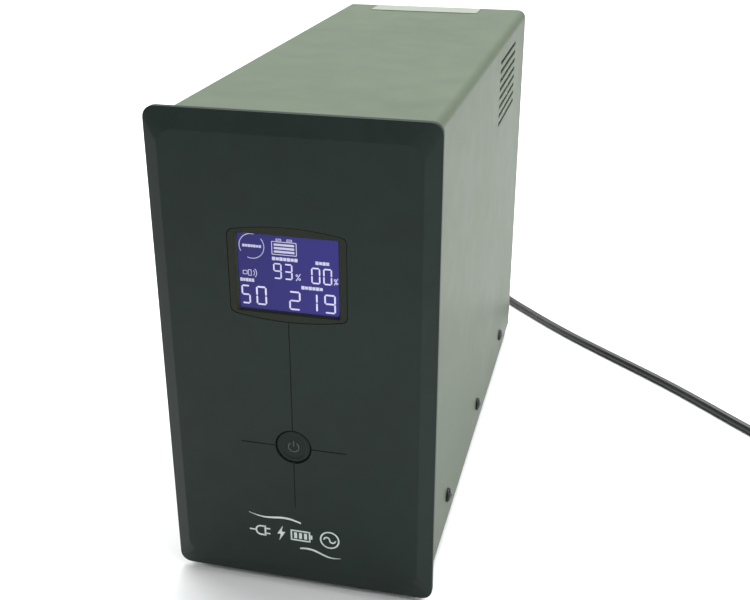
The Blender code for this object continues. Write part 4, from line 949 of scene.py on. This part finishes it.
# ---------------------------------------------------------------- outlets
# Four earthed two-pin outlets in black moulded plastic, snapped into the rear panel. Each has a
# round well, brass sleeves behind its pin holes and a pair of sprung earth clips.

OUTLET_XS, OUTLET_ZS = (-0.033, 0.033), (0.098, 0.150)
OUTLET_FACE, WELL_DEPTH = REAR_OUT + 0.0023, 0.0175
outlet_plastic = grained("outlet_plastic", (0.014, 0.014, 0.015), 0.30, 2000.0, 0.000012, specular=0.5,
                         cloud=60.0, strength=0.18, scuffs=0.3, stretch=(60.0, 60.0, 900.0))
contact_brass = grained("contact_brass", (0.72, 0.50, 0.20), 0.28, 1400.0, 0.000006, metallic=1.0,
                        cloud=120.0, strength=0.16)
SLEEVE_SPREAD, CLIP_WIDTH, SHEET = 0.0095, 0.0044, 0.0004
CLIP_BENDS = [(-0.0172, 0.0186), (-0.0020, 0.0186), (-0.0006, 0.0178), (-0.0020, 0.0166),
              (-0.0090, 0.0158), (-0.0150, 0.0172)]


def folded_sheet(bm, lines, reach):
    """Draws lines of edges out into thin sheet metal, closed and with its faces outwards."""
    for edges in lines:
        drawn = bmesh.ops.extrude_edge_only(bm, edges=edges)["geom"]
        bmesh.ops.translate(bm, vec=reach, verts=only_verts(drawn))
    bmesh.ops.recalc_face_normals(bm, faces=bm.faces)
    bmesh.ops.solidify(bm, geom=bm.faces[:], thickness=SHEET)
    bmesh.ops.recalc_face_normals(bm, faces=bm.faces)
    return bm


def pin_sleeves(x, z):
    """Two brass sleeves behind an outlet's pin holes."""
    bm, rims = bmesh.new(), []
    for side in (-SLEEVE_SPREAD, SLEEVE_SPREAD):
        mouth = Matrix.Translation((x + side, OUTLET_FACE - WELL_DEPTH - 0.0015, z))
        ring = bmesh.ops.create_circle(bm, segments=24, radius=0.0025,
                                       matrix=mouth @ Matrix.Rotation(pi / 2, 4, "X"))["verts"]
        rims.append(edges_of(ring))
    return folded_sheet(bm, rims, (0, -0.0080, 0))


def earth_clips(x, z):
    """Two sprung clips at the top and bottom of an outlet's well."""
    bm, chains = bmesh.new(), []
    for side in (-1, 1):
        bends = [(x - CLIP_WIDTH / 2, OUTLET_FACE + y, z + side * lift) for y, lift in CLIP_BENDS]
        line = [bm.verts.new(bend) for bend in bends]
        chains.append([bm.edges.new(pair) for pair in zip(line, line[1:])])
    return folded_sheet(bm, chains, (CLIP_WIDTH, 0, 0))


for number, (x, z) in enumerate([(x, z) for z in reversed(OUTLET_ZS) for x in OUTLET_XS], 1):
    add_piece(f"outlet_body_{number}", rounded_copy(f"outlet_{number}", 0.0005), outlet_plastic,
              "outlet_plastic", f"outlet_{number}")
    add_piece(f"outlet_sleeves_{number}", pin_sleeves(x, z), contact_brass, "bright_steel")
    add_piece(f"outlet_clips_{number}", earth_clips(x, z), pin_plating, "bright_steel")

# ---------------------------------------------------------------- reset button and ports
# A thermal breaker held by a hexagon nut, with a black button that pops out; above it a square
# data socket in folded steel and a pair of line sockets in black plastic.

BREAKER_X, BREAKER_Z, STEM_END = -0.045, 0.042, 0.1763
PORTS_X, USB_Z, DATA_Z = 0.046, 0.246, 0.220
add_piece("breaker_case", rounded_copy("breaker_body", 0.0003), outlet_plastic, "black_plastic",
          "breaker_body")
add_piece("hexagon_nut", rounded_copy("breaker_nut", 0.0004), screw_steel, "bright_steel", "breaker_nut")
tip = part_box("breaker_button")[1].y
reset = [(0.0, tip - 0.0003), (0.0016, tip - 0.0002), (0.0022, tip), (0.0026, tip - 0.0002),
         (0.0030, tip - 0.0008), (0.0030, tip - 0.0038), (0.0033, tip - 0.0044), (0.0033, STEM_END),
         (0.0, STEM_END)]
add_piece("reset_cap", turned(reset, (BREAKER_X, 0.0, BREAKER_Z), sides=36), button_plastic,
          "black_plastic", "breaker_button", body="breaker_button")
port_steel = grained("port_steel", (0.60, 0.60, 0.61), 0.25, 1500.0, 0.000006, metallic=1.0,
                     cloud=130.0, strength=0.12, scuffs=0.6, stretch=(40.0, 900.0, 900.0))
add_piece("usb_shell", rounded_copy("usb_port", 0.0002), port_steel, "bright_steel", "usb_port")
add_piece("line_sockets", rounded_copy("data_ports", 0.0002), outlet_plastic, "black_plastic", "data_ports")


def rounded_block(bm, low, high, width=0.0002):
    """A box between two corners with its edges rounded over."""
    low, high = Vector(low), Vector(high)
    place = Matrix.Translation((low + high) / 2) @ Matrix.Diagonal((*(high - low), 1.0))
    made = bmesh.ops.create_cube(bm, size=1.0, matrix=place)["verts"]
    bmesh.ops.bevel(bm, geom=edges_of(made), offset=width, offset_type="OFFSET", affect="EDGES",
                    segments=2, profile=0.5, material=-1)


tongue = bmesh.new()
rounded_block(tongue, (PORTS_X - 0.0028, 0.1732, USB_Z - 0.0016), (PORTS_X + 0.0028, 0.1840, USB_Z + 0.0016))
add_piece("usb_tongue", tongue, backlight_plastic, "backlight_plastic")
gold = grained("contact_gold", (0.83, 0.60, 0.22), 0.22, 1500.0, 0.000004, metallic=1.0, cloud=200.0,
               strength=0.10)
contacts = bmesh.new()
for side in (-0.0012, 0.0012):
    for face in (-1, 1):
        rounded_block(contacts, (PORTS_X + side - 0.0005, 0.1745, USB_Z + face * 0.00175 - 0.00012),
                      (PORTS_X + side + 0.0005, 0.1836, USB_Z + face * 0.00175 + 0.00012), 0.00005)
for socket in (-0.0075, 0.0075):
    for number in range(6):
        x = PORTS_X + socket + (number - 2.5) * 0.00110
        bends = [(x, 0.1722, DATA_Z - 0.0026), (x, 0.1760, DATA_Z - 0.0016), (x, 0.1825, DATA_Z + 0.0020)]
        wire(contacts, bends, 0.00025, sides=8)
add_piece("port_contacts", contacts, gold, "bright_steel", weighted=False)

# ---------------------------------------------------------------- batteries
# Two sealed lead-acid blocks side by side in ribbed dark cases with a glued lid, held down by a
# folded strap. Each has a red and a black terminal boot.

battery_case = grained("battery_case", (0.035, 0.036, 0.040), 0.45, 700.0, 0.00004, specular=0.4,
                       cloud=25.0, strength=0.20, scuffs=0.5, stretch=(30.0, 30.0, 500.0))
boot_red = grained("boot_red", (0.42, 0.02, 0.015), 0.40, 1200.0, 0.00002, cloud=120.0, strength=0.20)
LID_Z, TERMINAL_X, TERMINAL_Y = 0.1037, 0.020, -0.153
for name in ("battery_left", "battery_right"):
    dress(battery_case, name)
    low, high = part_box(name)
    middle = (low.x + high.x) / 2
    vents = bmesh.new()
    for y in (low.y + 0.010, high.y - 0.010):
        rounded_block(vents, (low.x + 0.006, y - 0.004, LID_Z), (high.x - 0.006, y + 0.004, LID_Z + 0.0005))
    add_piece(f"{name}_vents", vents, battery_case, "battery_case")
    for side, colour, finish in ((-TERMINAL_X, "black", cord_rubber), (TERMINAL_X, "red", boot_red)):
        boot = bmesh.new()
        rounded_block(boot, (middle + side - 0.003, TERMINAL_Y - 0.004, LID_Z + 0.0001),
                      (middle + side + 0.003, TERMINAL_Y + 0.004, LID_Z + 0.0083), 0.0008)
        add_piece(f"{name}_boot_{colour}", boot, finish, "battery_case")
dress(zinc_sheet, "battery_strap", "board_shelf", "transformer_clamp")

# ---------------------------------------------------------------- circuit boards
# A front board for the display and switch, and a main board on four posts. Both are green
# lacquered laminate with copper tracks, small soldered parts, relays, capacitors and heat sinks.

circuit_board, tree, shader, place = new_material("circuit_board", (0.015, 0.090, 0.035), 0.35)
tracks = add_node(tree, "TexBrick", [("Vector", place)], Scale=90.0)
tracks.inputs["Color1"].default_value = (0.012, 0.085, 0.032, 1.0)
tracks.inputs["Color2"].default_value = (0.018, 0.110, 0.040, 1.0)
tracks.inputs["Mortar"].default_value = (0.050, 0.190, 0.070, 1.0)
tracks.inputs["Mortar Size"].default_value = 0.03
pads = add_node(tree, "TexVoronoi", [("Vector", place)], Scale=210.0, Randomness=0.4)
on_pad = add_node(tree, "MapRange", [("Value", pads.outputs["Distance"])], From_Min=0.16, From_Max=0.20,
                  To_Min=1.0, To_Max=0.0)
laminate = add_node(tree, "Mix", [("Factor", on_pad.outputs["Result"]), (6, tracks.outputs["Color"])],
                    data_type="RGBA")
laminate.inputs[7].default_value = (0.55, 0.54, 0.50, 1.0)
tree.links.new(laminate.outputs[2], shader.inputs["Base Color"])
raise_surface(tree, shader, tracks.outputs["Fac"], 0.00005)
dress(circuit_board, "front_board", "main_board")

chip_epoxy = grained("chip_epoxy", (0.020, 0.020, 0.021), 0.50, 1800.0, 0.00001, cloud=150.0, strength=0.25)
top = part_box("main_board")[1].z
parts = bmesh.new()
PART_SIZES = ((0.0014, 0.0010, 0.0006), (0.0022, 0.0040, 0.0014), (0.0010, 0.0020, 0.0008))
for column in range(5):
    for row in range(7):
        x, y = 0.046 - column * 0.0042 * (1 + row % 2), -0.070 + row * 0.0155
        wide, long, tall = PART_SIZES[(column + row) % 3]
        rounded_block(parts, (x - wide, y - long, top + 0.00005), (x + wide, y + long, top + tall), 0.0001)
rounded_block(parts, (0.030, -0.126, top + 0.00005), (0.0415, -0.1165, top + 0.0040), 0.0003)
add_piece("soldered_parts", parts, chip_epoxy, "circuit_board")

relay_case = grained("relay_case", (0.030, 0.090, 0.300), 0.30, 1400.0, 0.00001, cloud=90.0, strength=0.10)
CAPACITOR_X, CAPACITOR_YS = -0.008, (0.005, 0.032)
SLEEVE_BLUE = (0.015, 0.020, 0.060)
capacitor_sleeve, tree, shader, place = new_material("capacitor_sleeve", SLEEVE_BLUE, 0.30)
centred = add_node(tree, "Mapping", [("Vector", place)], Location=(-CAPACITOR_X, 0.0, 0.0))
split = add_node(tree, "SeparateXYZ", [("Vector", centred.outputs["Vector"])])
stripe = add_node(tree, "MapRange", [("Value", split.outputs["X"])], From_Min=0.0085, From_Max=0.0088)
sleeve = add_node(tree, "Mix", [("Factor", stripe.outputs["Result"])], data_type="RGBA")
sleeve.inputs[6].default_value = (*SLEEVE_BLUE, 1.0)
sleeve.inputs[7].default_value = (0.55, 0.56, 0.60, 1.0)
tree.links.new(sleeve.outputs[2], shader.inputs["Base Color"])
aluminium = grained("aluminium_fins", (0.66, 0.67, 0.68), 0.32, 900.0, 0.00002, metallic=1.0, cloud=30.0,
                    strength=0.08, scuffs=0.8, stretch=(900.0, 900.0, 20.0))
dress(relay_case, "relay_1", "relay_2")
dress(capacitor_sleeve, "capacitor_1", "capacitor_2")
dress(aluminium, "heat_sink_left", "heat_sink_right")
dress(outlet_plastic, "push_switch")
for number, y in enumerate(CAPACITOR_YS, 1):
    can_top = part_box(f"capacitor_{number}")[1].z
    vent = bmesh.new()
    for quarter in (0, pi / 2):
        turn = Matrix.Translation((CAPACITOR_X, y, can_top + 0.00012)) @ Matrix.Rotation(quarter, 4, "Z")
        bmesh.ops.create_cube(vent, size=1.0, matrix=turn @ Matrix.Diagonal((0.0130, 0.0007, 0.0002, 1.0)))
    add_piece(f"capacitor_vent_{number}", vent, aluminium, "aluminium_fins")


def banded(name, colour, roughness, dark, light, height, metallic=0.0, **bands):
    """A finish in fine parallel bands whose colour follows their height: painted shade in the low bands and
    painted highlight on the proud ones.
    """
    made, tree, shader, place = new_material(name, colour, roughness, metallic)
    wave = add_node(tree, "TexWave", [("Vector", place)], **bands)
    tree.links.new(two_tone(tree, wave.outputs["Fac"], dark, light), shader.inputs["Base Color"])
    raise_surface(tree, shader, wave.outputs["Fac"], height)
    return made


# The ribbon's grooves carry painted shade and its wire ridges painted highlight.
ribbon_grey = banded("ribbon_grey", (0.36, 0.36, 0.38), 0.50, (0.20, 0.20, 0.22), (0.42, 0.42, 0.44), 0.0002,
                     bands_direction="X", Scale=125.0)
dress(ribbon_grey, "ribbon_cable")

# ---------------------------------------------------------------- transformer
# A stack of thin steel plates with two windows; the winding on its middle leg is wrapped in
# yellow tape, and a folded clamp holds the core to the tray.

# The core's dark bands are painted shade between the plates, and its light bands are painted highlight.
core_steel = banded("core_steel", (0.16, 0.155, 0.15), 0.45, (0.050, 0.045, 0.042),
                    (0.230, 0.220, 0.210), 0.0002, 0.8, bands_direction="Y", Scale=320.0, Distortion=0.3)
dress(core_steel, "transformer_core")
# The tape's colour follows its wound ridges: painted shade in the low parts and painted highlight on the high
# ones.
winding_tape = banded("winding_tape", (0.60, 0.42, 0.06), 0.28, (0.40, 0.26, 0.03), (0.66, 0.48, 0.10),
                      0.0003, bands_direction="Z", Scale=36.0, Distortion=1.2, Detail=1.0,
                      wave_profile="SAW")
dress(winding_tape, "transformer_winding")

# ---------------------------------------------------------------- size
# The box round the model's shown pieces, leaving out the floor.

low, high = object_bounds()
